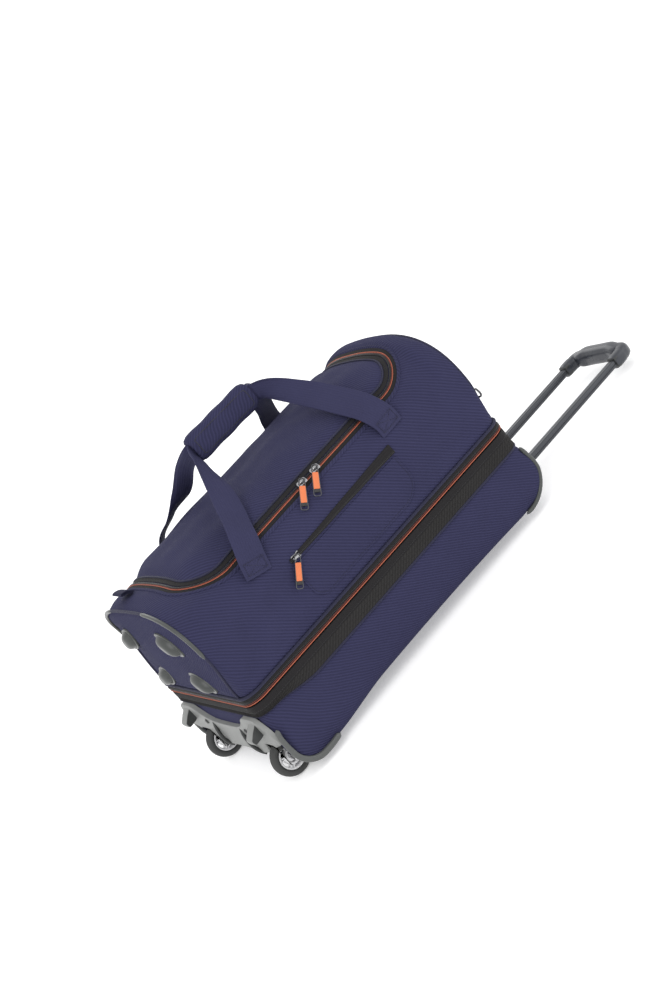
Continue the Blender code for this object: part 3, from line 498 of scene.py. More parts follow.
def round_profile(radius_side, radius_normal=None, count=10, power=2.0):
    """A superellipse: power 2 is an ellipse, and higher is squarer."""
    cos, sin = squared(np.arange(count) * TAU / count, 2 / power)
    radius_normal = radius_side if radius_normal is None else radius_normal
    return np.stack([radius_side * cos, radius_normal * sin], axis=1)


def tube_piece(name, path, radius, material, side, body, slot, replaces=(), profile=None, taper=0.0):
    """A cord or bar along a path. taper rounds its two ends off over that length."""
    path = np.asarray(path, float)
    shape = round_profile(radius) if profile is None else np.asarray(profile)
    scales = np.ones(len(path))
    run = path_length(path)
    if taper:
        near = np.minimum(run, run[-1] - run)
        scales = np.sqrt(np.clip(1 - (1 - np.clip(near / taper, 0, 1)) ** 2, 0.04, 1))
    rings = sweep(path, side, shape, scales)
    points, faces = loft(rings)
    around = np.linspace(0, TAU * radius, rings.shape[1], endpoint=False)
    return add_piece(name, points, faces, material, body, slot, replaces, cloth_grid(around, run), 50)


def rounded_rectangle(x_low, x_high, y_low, y_high, radii, steps):
    """Anticlockwise outline; radii are of the corners (low, low), (high, low), (high, high), (low, high)."""
    corners = [(x_low, y_low, 180), (x_high, y_low, 270), (x_high, y_high, 0), (x_low, y_high, 90)]
    points = []
    for (x, y, start), radius in zip(corners, radii):
        cx = x + radius if x == x_low else x - radius
        cy = y + radius if y == y_low else y - radius
        angle = np.radians(start + 90 * np.linspace(0, 1, steps + 1))
        points.append(np.stack([cx + radius * np.cos(angle), cy + radius * np.sin(angle)], axis=1))
    return np.concatenate(points)


def box_part(low, high, bevel, place=None):
    """Points and faces of a box with its edges bevelled, moved by the 4x4 Matrix place."""
    bm = bmesh.new()
    size = Vector(high) - Vector(low)
    centre = (Vector(high) + Vector(low)) / 2
    bmesh.ops.create_cube(bm, size=1, matrix=Matrix.Translation(centre) @ Matrix.Diagonal((*size, 1)))
    bmesh.ops.bevel(bm, geom=bm.edges, offset=bevel, segments=2, affect="EDGES", profile=0.6)
    if place is not None:
        bm.transform(place)
    points = np.array([v.co for v in bm.verts])
    faces = [tuple(v.index for v in face.verts) for face in bm.faces]
    bm.free()
    return points, faces


def lathe_part(profile, centre, sides):
    """A closed profile of (radius, along) pairs turned about the Y axis through centre."""
    angle = np.arange(sides) * TAU / sides
    rings = []
    for radius, along in profile:
        rings.append(np.column_stack([radius * np.cos(angle), np.full(sides, along), radius * np.sin(angle)]))
    rings = np.array(rings) + np.asarray(centre)
    return rings.reshape(-1, 3), grid_faces(len(profile), sides, True, True)


# ---------------------------------------------------------------- the case's surface

def crest(x):
    """Height of the crest, with the corners between its points smoothed out."""
    xs, zs = np.array(CREST, float).T * MM
    taps = np.linspace(-18, 18, 7) * MM
    weights = bell(taps, 12 * MM)
    x = np.asarray(x, float)
    return sum(weight * np.interp(x + tap, xs, zs) for tap, weight in zip(taps, weights)) / weights.sum()


def arc_table():
    """Arc length from the wall top to the crest, with the section's two coordinates as shares."""
    angle = np.linspace(0, math.pi / 2, 6001)
    across = np.abs(np.cos(angle)) ** (2 / SECTION_POWER)
    across[-1] = 0
    rise = np.sin(angle) ** (2 / SECTION_POWER)
    steps = np.hypot(np.diff(across) * HALF_W, np.diff(rise) * CURVE_HEIGHT)
    return np.concatenate([[0], np.cumsum(steps)]), across, rise


ARC, ARC_ACROSS, ARC_RISE = arc_table()
S_CURVE = ARC[-1]                               # from the crest down to the wall's top
S_BAND = S_CURVE + WALL_TOP_Z - BAND_TOP_Z      # from the crest down to the zip band


def corner_radius(z):
    """Radius in plan of the case's upright corners at that height."""
    share = smoothstep(z, BAND_TOP_Z, BAND_TOP_Z + 70 * MM)
    return PLAN_CORNER + (SEAM_CORNER - PLAN_CORNER) * share


def wall_z(s):
    """Height of the wall there, or of its top on the curved part."""
    return WALL_TOP_Z - np.clip(np.abs(s) - S_CURVE, 0, None)


def end_w(s):
    """How far w runs from the middle to the end seam: longer where the corner is rounder."""
    return HALF_L + (math.pi / 2 - 1) * corner_radius(wall_z(s))


TUCK_DEPTH, TUCK_Z = 10 * MM, 212 * MM


def tuck(x, y, z):
    """How far the wheel end's back corner is pushed in, halfway up."""
    near = smoothstep(-x, 0.185, 0.255) * smoothstep(y, 0.030, 0.150)
    return TUCK_DEPTH * near * bell(z - TUCK_Z, 0.046)


def bare_place(w, s):
    """A point of the bare case surface."""
    w, s = np.broadcast_arrays(np.asarray(w, float), np.asarray(s, float))
    up = np.clip(S_CURVE - np.abs(s), 0, S_CURVE)
    across = np.interp(up, ARC, ARC_ACROSS)
    rise = np.interp(up, ARC, ARC_RISE)
    radius = corner_radius(wall_z(s))
    start = HALF_L - radius
    turn = np.clip((np.abs(w) - start) / radius, 0, math.pi / 2)
    x = np.sign(w) * (np.minimum(np.abs(w), start) + radius * np.sin(turn))
    z = wall_z(s) + rise * (crest(x) - WALL_TOP_Z)
    y = np.sign(s) * (HALF_W - radius * (1 - np.cos(turn))) * across
    return np.stack([x + tuck(x, y, z), y, z], axis=-1)


def bare_normal(w, s):
    """The bare surface's outward direction."""
    step = 0.6 * MM
    along = bare_place(w + step, s) - bare_place(w - step, s)
    around = bare_place(w, s + step) - bare_place(w, s - step)
    return unit(np.cross(along, around))


def s_of_y(y):
    """s on the curved part where the bare section reaches that y."""
    share = np.abs(np.asarray(y, float)) / HALF_W
    up = np.interp(share, ARC_ACROSS[::-1], ARC[::-1])
    return np.sign(y) * (S_CURVE - up)


def lid_outline(grow=0.0, spacing=3.0 * MM):
    """The lid's edge as (w, s) points, evenly spaced, with their outward normals in (w, s)."""
    plan = rounded_rectangle(LID_X[0], LID_X[1], -LID_Y, LID_Y,
                             (LID_CORNER_FRONT, LID_CORNER_FRONT, LID_CORNER_BACK, LID_CORNER_BACK), 16)
    path = respace(np.stack([plan[:, 0], s_of_y(plan[:, 1])], axis=1), spacing, closed=True)
    normal = outward_normals(path)
    return path + normal * grow, normal


LID_EDGE, LID_NORMAL = lid_outline()


def lid_distance(w, s):
    """Signed distance in (w, s) from the lid's edge: negative inside it."""
    flat = np.stack([np.ravel(w), np.ravel(s)], axis=1)
    result = np.empty(len(flat))
    for start in range(0, len(flat), 4000):
        offset = flat[start:start + 4000, None] - LID_EDGE[None]
        gap = np.linalg.norm(offset, axis=2)
        nearest = gap.argmin(axis=1)
        rows = np.arange(len(nearest))
        outward = (offset[rows, nearest] * LID_NORMAL[nearest]).sum(axis=1)
        result[start:start + 4000] = np.sign(outward) * gap[rows, nearest]
    return result.reshape(np.shape(w))


random = np.random.default_rng(7)
FOLDS = [(random.uniform(55, 170) * MM, random.uniform(0, math.pi), random.uniform(0, TAU),
          random.uniform(0.25, 0.60) * MM) for _ in range(16)]

# Creases pressed into the cloth: (w, s, direction in degrees, half length, half width, depth), lengths in mm.
CREASES = [
    (-150, -232, 62, 46, 12, 2.4), (-188, -212, 74, 40, 13, 2.0), (-222, -262, 35, 30, 11, 2.6),
    (-172, -262, 20, 40, 11, 1.8), (-205, -175, 100, 34, 13, 1.5),
    (150, -186, -64, 50, 13, 2.4), (188, -206, -70, 46, 14, 2.0), (214, -150, -82, 40, 14, 1.6),
    (175, -258, -18, 46, 10, 1.6), (60, -262, 8, 60, 12, 1.2), (-40, -256, -6, 55, 12, 1.2),
    (-120, 200, 70, 46, 14, 2.0), (130, 206, -66, 50, 14, 2.0), (0, 240, 5, 80, 14, 1.5),
    (-90, -40, 65, 60, 16, 1.6), (110, -50, -58, 66, 17, 1.6), (20, 40, 14, 80, 20, 1.4),
    (205, 60, 85, 50, 14, 1.4),
]


# How deep or high each part of the sewn cloth's relief is.
PANEL_CROWN = 3.2 * MM
BAND_TUCK, END_TUCK, ZIP_TUCK = 1.3 * MM, 1.2 * MM, 1.1 * MM
LID_END_DIP = 3.5 * MM            # the lid's ends sink along the zip
HANDLE_END_SWELL = 5.0 * MM       # and the case swells between the zip and the handle end
PUCKER, PUCKER_PITCH = 0.32 * MM, 9.5 * MM


def folds(w, s):
    """Long soft folds, and the creases with a ridge beside each valley."""
    height = np.zeros(np.broadcast(w, s).shape)
    for length, angle, phase, depth in FOLDS:
        height = height + depth * np.sin(TAU * (w * math.cos(angle) + s * math.sin(angle)) / length + phase)
    for cw, cs, degrees, half_length, half_width, depth in CREASES:
        angle = math.radians(degrees)
        dw, ds = w - cw * MM, s - cs * MM
        along = dw * math.cos(angle) + ds * math.sin(angle)
        bend = 0.0012 * (along / (20 * MM)) ** 2
        across = -dw * math.sin(angle) + ds * math.cos(angle) + bend
        ridge = bell(across - half_width * 1.7 * MM, half_width * 1.1 * MM)
        valley = bell(across, half_width * MM) - 0.55 * ridge
        height = height - 1.25 * depth * MM * valley * bell(along, half_length * MM)
    return height


def relief(w, s):
    """How far the sewn cloth stands off the bare surface: crowned panels, tucked seams, folds, puckers."""
    w, s = np.broadcast_arrays(np.asarray(w, float), np.asarray(s, float))
    from_lid = lid_distance(w, s)
    from_band = S_BAND - np.abs(s)
    from_end = end_w(s) - np.abs(w)
    open_cloth = smoothstep(np.abs(from_lid), 9 * MM, 42 * MM) * smoothstep(from_band, 3 * MM, 30 * MM)
    open_cloth = open_cloth * smoothstep(from_end, 3 * MM, 34 * MM)
    height = PANEL_CROWN * open_cloth + folds(w, s) * open_cloth
    height = height - BAND_TUCK * bell(from_band, 5 * MM) - END_TUCK * bell(from_end, 6 * MM)
    zipped = smoothstep(-s, -s_of_y(ZIP_END_Y), -s_of_y(ZIP_END_Y) + 10 * MM)
    height = height - ZIP_TUCK * bell(np.abs(from_lid) - 10 * MM, 7 * MM) * zipped
    on_top = 1 - smoothstep(np.abs(s), s_of_y(0.115), S_CURVE - 10 * MM)
    lid_ends = bell(from_lid + 3 * MM, 15 * MM) * smoothstep(np.abs(w), 0.120, 0.190)
    height = height - LID_END_DIP * lid_ends * on_top
    shoulder = smoothstep(w, 0.214, 0.232) * smoothstep(from_end, 1 * MM, 15 * MM)
    height = height + HANDLE_END_SWELL * shoulder * on_top
    pucker = np.sin(TAU * w / PUCKER_PITCH + 1.7 * np.sin(w / (31 * MM)))
    height = height + PUCKER * pucker * bell(from_band - 6 * MM, 5 * MM)
    return height


def case_place(w, s, height=0.0):
    """A point on the sewn cloth, or height above it."""
    w, s = np.broadcast_arrays(np.asarray(w, float), np.asarray(s, float))
    lift = (relief(w, s) + height)[..., None]
    return bare_place(w, s) + bare_normal(w, s) * lift


def surface_weave(w, s):
    """The cloth's own coordinates on the case."""
    return np.stack(np.broadcast_arrays(w, s), axis=-1)


CASE_MIDDLE = (0, 0, 0.17)        # sheets face away from here
SHEET_ANGLE = 60                  # edges of a sheet sharper than this stay sharp
LID_GAP = 0.8 * MM


# ---------------------------------------------------------------- case fabric

def outer_match(edge):
    """For each lid edge point, a matching point on the case's outer edge: the band in front and behind, the
    end seams at the ends. Each corner of the lid matches a corner of the case."""
    signs = np.array([[-1, -1], [1, -1], [1, 1], [-1, 1]])
    marks = [int((edge @ sign).argmax()) for sign in signs]
    run = path_length(np.vstack([edge, edge[:1]]))
    matched = np.zeros_like(edge)
    for k in range(4):
        first, last = marks[k], marks[(k + 1) % 4]
        start, end = signs[k], signs[(k + 1) % 4]
        total = (run[last] - run[first]) % run[-1]
        for step in range((last - first) % len(edge)):
            i = (first + step) % len(edge)
            share = ((run[i] - run[first]) % run[-1]) / total
            corner = start + (end - start) * share
            s = corner[1] * S_BAND
            matched[i] = (corner[0] * end_w(s), s)
    return matched


def cloth_between(name, edge, inner, count, body, replaces, merge):
    """A lined sheet on the case's surface between two closed (w, s) outlines, dense along the first."""
    shares = np.concatenate([[0, 0.012, 0.03, 0.06], np.linspace(0.1, 1, count)])
    rings = np.array([edge + (inner - edge) * share for share in shares])
    w, s = rings[..., 0], rings[..., 1]
    faces = grid_faces(*w.shape, wrap_columns=True)
    lined_sheet(name, case_place(w, s), faces, body, replaces, surface_weave(w, s), merge)


def build_case_cloth():
    """The case round the lid opening, and the lid, whose sheet runs in to a line along its middle."""
    edge, _ = lid_outline(LID_GAP)
    cloth_between("case_cloth", edge, outer_match(edge), 42, "case", ("case_shell",), 0.02 * MM)
    half_s = s_of_y(LID_Y)
    spine = np.stack([np.clip(LID_EDGE[:, 0], LID_X[0] + half_s, LID_X[1] - half_s),
                      np.zeros(len(LID_EDGE))], axis=1)
    cloth_between("lid_cloth", LID_EDGE, spine, 40, "lid", ("lid",), 0.3 * MM)


def build_lid_hinge():
    """The uncut cloth at the lid's back edge: a strip under both its sides."""
    w = np.arange(LID_X[0] + LID_CORNER_BACK, LID_X[1] - LID_CORNER_BACK, 4 * MM)
    middle = s_of_y(LID_Y)
    w, s = np.meshgrid(w, middle + np.linspace(-9, 9, 19) * MM, indexing="ij")
    points = case_place(w, s, -FABRIC - 0.1 * MM)
    strip = lined_sheet("lid_hinge_cloth", points, grid_faces(*w.shape), None, (), surface_weave(w, s),
                        thickness=0.8 * MM)
    start, end = (case_place(0, middle + ds * MM) + (CENTRE_X, 0, 0) for ds in (-5, 5))
    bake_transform(strip)


def end_profile(count=150):
    """The end seam as s values, from the front of the band over the crest to the back."""
    return np.linspace(-S_BAND, S_BAND, count)


END_BULGE = {-1: 5.5 * MM, 1: 5.0 * MM}         # of the end panels' middles, by side
PANEL_MIDDLE = np.array([0, (BAND_TOP_Z + 0.285) / 2 - 0.004])


def end_panel_x(side, depth, z):
    """x of an end panel where depth is 0 at its seam and 1 in its middle."""
    fuller_low = 1.25 - 0.5 * np.clip((z - BAND_TOP_Z) / 0.16, 0, 1)
    dome = 1 - (1 - np.clip(depth, 0, 1)) ** 2.4
    return side * (HALF_L + END_BULGE[side] * fuller_low * dome)


def build_end_panels():
    """The case's two ends: bulging panels inside the end seams."""
    for side, label in ENDS:
        s = end_profile()
        arch = case_place(side * end_w(s), s)
        along = np.linspace(0, 1, 60)[1:-1, None]
        rim = np.vstack([arch, arch[-1] + (arch[0] - arch[-1]) * along])
        rings, cloth = [], []
        for share in np.concatenate([[0, 0.02, 0.05, 0.09], np.linspace(0.14, 1, 24)]):
            yz = rim[:, 1:] + (PANEL_MIDDLE - rim[:, 1:]) * share
            y, z = yz.T
            wrinkle = 0.7 * MM * np.sin(y / (21 * MM) + 2 * np.sin(z / (26 * MM))) * share
            seam_tuck = 0.9 * MM * bell(share - 0.03, 0.03)
            x = end_panel_x(side, share, z) + side * wrinkle - side * seam_tuck
            x = np.where(share == 0, rim[:, 0], x + tuck(side * HALF_L, y, z))
            rings.append(np.column_stack([x, yz]))
            cloth.append(yz)
        rings = np.array(rings)
        faces = grid_faces(*rings.shape[:2], wrap_columns=True)
        lined_sheet(f"end_panel_{label}", rings, faces, "case", (), np.array(cloth), 0.2 * MM)


# ---------------------------------------------------------------- strips, cords and stitches on the case

def strip_on_case(name, path, normal, profile, material, body, slot, replaces=(), tube=False, stretch=1.0):
    """Cloth or cord that follows a (w, s) path: profile holds (distance along normal, height) pairs, closed
    for a tube, and stretch scales each point's distances."""
    profile = np.asarray(profile, float)
    reach = profile[None, :, 0] * np.broadcast_to(stretch, len(path))[:, None]
    w = path[:, 0, None] + normal[:, 0, None] * reach
    s = path[:, 1, None] + normal[:, 1, None] * reach
    points = case_place(w, s, np.broadcast_to(profile[None, :, 1], w.shape))
    cloth = cloth_grid(path_length(profile), path_length(path))
    faces = grid_faces(len(path), len(profile), wrap_columns=tube)
    if tube:
        columns = len(profile)
        faces.append(tuple(range(columns)))
        faces.append(tuple((len(path) - 1) * columns + j for j in range(columns)))
    facing = None if tube else CASE_MIDDLE
    return add_piece(name, points, faces, material, body, slot, replaces, cloth, 50, facing)


def circle(distance, height, radius, count=8):
    """A cord's round profile for strip_on_case and band_piece."""
    angle = -np.arange(count) * TAU / count
    return np.stack([distance + radius * np.cos(angle), height + radius * np.sin(angle)], axis=1)


def studs_on_case(name, path, normal, distance, height, pitch, size, material, body, slot, duty, lean=0.0):
    """A row of small rounded blocks beside a (w, s) path: zip coils and stitches."""
    w, s = respace(path + normal * distance, pitch).T
    return studs(name, case_place(w, s, height), bare_normal(w, s), pitch * duty, size, material, body, slot,
                 lean)


def studs(name, position, up, length, size, material, body, slot, lean=0.0):
    """Small rounded blocks, one at each position along a path. size is (across, high)."""
    ahead = tangents(position)
    across = unit(np.cross(up, ahead))
    ahead = unit(np.cross(across, up))
    ahead, across = (ahead * math.cos(lean) + across * math.sin(lean),
                     across * math.cos(lean) - ahead * math.sin(lean))
    shape = [(-1, -1, 0), (-1, 1, 0), (-0.6, -0.6, 0.9), (-0.6, 0.6, 0.9),
             (0.6, -0.6, 0.9), (0.6, 0.6, 0.9), (1, -1, 0), (1, 1, 0)]
    shape = np.array(shape) * (length / 2, size[0] / 2, size[1])
    points = (position[:, None] + ahead[:, None] * shape[None, :, :1] + across[:, None] * shape[None, :, 1:2]
              + up[:, None] * shape[None, :, 2:])
    block = [(0, 1, 3, 2), (2, 3, 5, 4), (4, 5, 7, 6), (0, 2, 4, 6), (1, 7, 5, 3), (0, 6, 7, 1)]
    faces = [tuple(8 * k + index for index in face) for k in range(len(position)) for face in block]
    return add_piece(name, points, faces, material, body, slot, (), np.zeros((len(points) * 8, 2)), 50,
                     merge=1e-6)


def ordered_run(path, normal, keep):
    """The kept points of a closed path and their normals, in order from the first of their one run."""
    start = int(np.argmax(keep & ~np.roll(keep, 1)))
    order = [(start + k) % len(path) for k in range(int(keep.sum()))]
    return path[order], normal[order]


def zip_path():
    """The part of the lid's edge that has the zip, from its back end at the wheels round the front."""
    edge, normal = lid_outline(0, 2.6 * MM)
    return ordered_run(edge, normal, edge[:, 1] < s_of_y(ZIP_END_Y))


def build_lid_zip():
    """The lid's zip, a little narrower round the ends: tapes, piping, cords, hem, coil and stitches."""
    path, normal = zip_path()
    narrow = 1 - 0.14 * smoothstep(np.abs(path[:, 0]), 0.150, 0.200)
    inner_tape = np.array([(-9.5, 0.1), (-8.5, 0.7), (-5, 0.9), (-1.2, 1.0), (-0.7, 0.9), (-0.5, -1.2)]) * MM
    outer_tape = np.array([(0.5, -1.2), (0.7, 0.8), (1.2, 1.0), (5, 1.0), (9, 0.9), (12.6, 0.8),
                           (13.4, 0.2)]) * MM
    piping = circle(-9.6 * MM, 1.0 * MM, 1.5 * MM)
    stripe = circle(6.4 * MM, 1.1 * MM, 0.60 * MM)
    line = circle(4.8 * MM, 1.1 * MM, LINE)
    hem = np.array([(12.6, 0.6), (12.9, 1.5), (15.0, 1.7), (17.5, 1.4), (18.6, 0.2)]) * MM
    for name, profile, material, body, slot, replaces, tube in (
        ("lid_zip_tape_inner", inner_tape, black_tape, "lid", "black_fabric", ("lid_zip_lid_tape",), False),
        ("lid_piping", piping, navy_trim, "lid", "navy_fabric", (), True),
        ("lid_zip_tape_outer", outer_tape, black_tape, "case", "black_fabric", ("lid_zip_case_tape",), False),
        ("lid_zip_stripe", stripe, orange_cord, "case", "orange_plastic", (), True),
        ("lid_zip_line", line, red_line, "case", "orange_plastic", (), True),
        ("lid_zip_hem", hem, navy_fabric, "case", "navy_fabric", (), False),
    ):
        strip_on_case(name, path, normal, profile, material, body, slot, replaces, tube, narrow)
    studs_on_case("lid_zip_coil", path, normal, 2.6 * MM, 1.0 * MM, COIL_PITCH, COIL, coil_nylon, "case",
                  "black_fabric", COIL_DUTY, COIL_LEAN)
    for name, distance, height, body in (("outer", 15.2, 1.6, "case"), ("inner", -12.4, 0.0, "lid")):
        studs_on_case(f"lid_zip_stitch_{name}", path, normal * narrow[:, None], distance * MM, height * MM,
                      STITCH_PITCH, STITCH, navy_thread, body, "navy_fabric", 0.72)


def seam_path(side, s, proud):
    """Points along an end seam, pushed out from its corner."""
    w = side * end_w(s)
    out = unit(bare_normal(w - side * 2 * MM, s) + np.array([side, 0, 0]))
    return case_place(w, s) + out * proud, out


def build_end_seams():
    """Piping round the end seams, and the moulded guards over the wheel end's upper corners."""
    for side, label in ENDS:
        path, _ = seam_path(side, end_profile(260), 0.8 * MM)
        tube_piece(f"end_piping_{label}", respace(path, 2.5 * MM), 2.0 * MM, navy_trim, (side, 0, 0), "case",
                   "navy_fabric", taper=3 * MM)
    for side, label in SIDES:
        s = side * np.linspace(s_of_y(0.060), s_of_y(HALF_W) - 4 * MM, 60)
        path, out = seam_path(-1, s, 1.6 * MM)
        tube_piece(f"corner_guard_{label}", path, 4 * MM, foot_plastic, out, "case", "grey_plastic",
                   (f"end_corner_guard_{label}",), round_profile(2.6 * MM, 2.5 * MM, 16, 2.4), 11 * MM)


# ---------------------------------------------------------------- expansion band

def plan_path(half_l, half_w, radius, spacing=2.6 * MM):
    """A closed rounded rectangle in plan, with outward normals."""
    outline = rounded_rectangle(-half_l, half_l, -half_w, half_w, (radius,) * 4, 12)
    path = respace(outline, spacing, closed=True)
    return path, outward_normals(path)


def gusset_rise(x):
    """How much higher the base's fabric reaches there than along the sides."""
    return BAND_RISE * (1 - smoothstep(x, -HALF_L + 20 * MM, -HALF_L + 95 * MM))


def band_piece(name, profile, material, body, slot, replaces=(), tube=False, pinned=None):
    """A closed strip round the bag: profile holds (proud of the fabric, z) pairs, closed for a tube. Below
    pinned, a height at which it keeps its place, it narrows with the band towards the wheel end."""
    path, normal = plan_path(HALF_L, HALF_W, PLAN_CORNER)
    profile = np.asarray(profile, float)
    xy = path[:, None] + normal[:, None] * profile[None, :, :1]
    z = np.broadcast_to(profile[None, :, 1:], (*xy.shape[:2], 1))
    if pinned is not None:
        share = np.clip((pinned - z) / (pinned - GUSSET_Z), 0, None)
        z = z + share * gusset_rise(path[:, 0])[:, None, None]
    cloth = cloth_grid(path_length(profile), path_length(path))
    faces = grid_faces(len(path), len(profile), True, tube)
    return add_piece(name, np.concatenate([xy, z], axis=2), faces, material, body, slot, replaces, cloth, 50,
                     None if tube else CASE_MIDDLE)


def band_cord(name, proud, z, radius, material, body, slot, pinned=None):
    """Piping or a cord round the bag."""
    return band_piece(name, circle(proud, z, radius), material, body, slot, tube=True, pinned=pinned)


def band_studs(name, proud, z, pitch, size, material, body, duty, lean=0.0):
    """Stitches or zip teeth round the bag."""
    path, normal = plan_path(HALF_L + proud, HALF_W + proud, PLAN_CORNER + proud, pitch)
    return studs(name, flat_ring(path, z), flat_ring(normal, 0), pitch * duty, size, material, body,
                 "black_fabric", lean)


def build_band():
    """The expansion zip: its upper half on the case, its lower half and the folded sleeve on the base."""
    top, rim = BAND_TOP_Z, CASE_RIM_Z
    tape = [(-1.5 * MM, top + 1.5 * MM), (0.4 * MM, top), (1.2 * MM, top - 1.5 * MM),
            (1.4 * MM, (top + rim) / 2), (1.2 * MM, rim + 0.6 * MM), (0.2 * MM, rim)]
    band_piece("case_band_tape", tape, black_tape, "case", "black_fabric", ("case_zip_band",))
    band_cord("case_band_piping", 0.4 * MM, top + 0.2 * MM, 2.3 * MM, navy_trim, "case", "navy_fabric")
    band_cord("case_band_stripe", 1.3 * MM, rim + 1.3 * MM, CORD, orange_cord, "case", "orange_plastic")
    band_cord("case_band_line", 1.4 * MM, rim + 3.6 * MM, LINE, red_line, "case", "orange_plastic")
    band_studs("case_band_coil", 1.3 * MM, rim + 5.8 * MM, COIL_PITCH, COIL, coil_nylon, "case", COIL_DUTY,
               COIL_LEAN)

    rim, low = BASE_RIM_Z, GUSSET_Z
    seam = rim - 12 * MM
    tape = [(0.2 * MM, rim), (1.1 * MM, rim - 0.6 * MM), (1.4 * MM, rim - 4 * MM), (1.3 * MM, rim - 9 * MM),
            (0.5 * MM, seam)]
    band_piece("base_band_tape", tape, black_tape, "base", "black_fabric", ("base_zip_band",))
    share = np.linspace(0, 1, 25)
    folded = (1.5 - 0.7 * np.abs(np.cos(3 * math.pi * share)) ** 3) * MM
    sleeve = np.column_stack([folded, seam - 1 * MM + (low + 2 * MM - seam) * share])
    band_piece("base_band_gusset", [(0.3 * MM, seam + 0.5 * MM), *sleeve, (0.2 * MM, low)], gusset_fabric,
               "base", "black_fabric", pinned=seam)
    band_cord("base_band_piping", 0.2 * MM, low, 1.8 * MM, navy_trim, "base", "navy_fabric", pinned=seam)
    band_studs("base_band_stitch", 1.1 * MM, seam + 2.6 * MM, STITCH_PITCH, (0.6 * MM, 0.3 * MM),
               black_rubber, "base", 0.7)


# ---------------------------------------------------------------- base

EDGE_LIFT, EDGE_BOW = 2.0 * MM, 5.0 * MM        # of the base's long lower edges, at their ends and between
CORNER_STEPS = 12                               # in each upright corner of the base's cloth
LONG_STEPS, SHORT_STEPS = 96, 52                # and in its sides
WELL_X, WELL_Z = -213.5 * MM, 60.5 * MM         # the base is open over each wheel, out from WELL_X
WELL_Y = (87.5 * MM, 132.5 * MM)
TUBE_HOLE = (10.5 * MM, 9 * MM)                 # half the width and height of the holes round the tubes


def base_corner(z):
    """Radius in plan of the base's upright corners at that height."""
    share = np.clip((z - CORNER_TIGHT_Z) / (GUSSET_Z - CORNER_TIGHT_Z), 0, 1)
    return BASE_EDGE + (PLAN_CORNER - BASE_EDGE) * share


def base_inset(radius, up):
    """How far a lower edge rounded to that radius stands in, at a height above the base's underside."""
    return radius - math.sqrt(max(radius ** 2 - (radius - up) ** 2, 0)) if up < radius else 0.0


def base_height(x, y, z):
    """z with the base's own sag: its long lower edges bow up between their ends, less near the wheels."""
    lift = EDGE_LIFT + EDGE_BOW * (1 - np.clip(np.abs(x + 0.02) / 0.21, 0, 1) ** 2.2)
    lift = lift - EDGE_BOW * smoothstep(-x, 0.10, 0.19)
    near_edge = smoothstep(np.abs(y), 0.10, HALF_W)
    low = 1 - smoothstep(z, BASE_Z, GUSSET_Z)
    return z + lift * low * near_edge


def base_ring(z):
    """The base's outline at that height, anticlockwise, with equally many points at every height."""
    up = z - BASE_Z
    low_x = -HALF_L + base_inset(BASE_CORNER_WHEEL, up)
    high_x = HALF_L - base_inset(BASE_CORNER_HANDLE, up)
    half_w = HALF_W - base_inset(BASE_EDGE, up)
    outline = rounded_rectangle(low_x, high_x, -half_w, half_w, (base_corner(z),) * 4, CORNER_STEPS)
    points = []
    for k in range(4):
        first = (CORNER_STEPS + 1) * k
        last = first + CORNER_STEPS
        a, b = outline[last], outline[(last + 1) % len(outline)]
        count = LONG_STEPS if k % 2 == 0 else SHORT_STEPS
        points.append(outline[first:last])
        points.append(a + (b - a) * np.linspace(0, 1, count, endpoint=False)[:, None])
    return np.vstack(points)


def base_bulge(x, z, normal):
    """How far the base's cloth stands out of that plan: a crown, slow waves and a tucked upper seam."""
    facing = np.clip(np.abs(normal[:, 1]), 0, 1)
    crown = smoothstep(GUSSET_Z - z, 0, 26 * MM) * smoothstep(z - BASE_Z, 0, 22 * MM)
    wave = np.sin(x / (38 * MM) + 1.5 * np.sin(z / (22 * MM))) + 0.7 * np.sin(x / (23 * MM) - z / (17 * MM))
    wave = wave + 0.6 * np.sin((x + 0.8 * z) / (61 * MM) + 2)
    bulge = 2.2 * MM * crown + 0.45 * MM * wave * crown * (0.4 + 0.6 * facing)
    return bulge - 1.0 * MM * bell(GUSSET_Z - z - 2 * MM, 4 * MM)


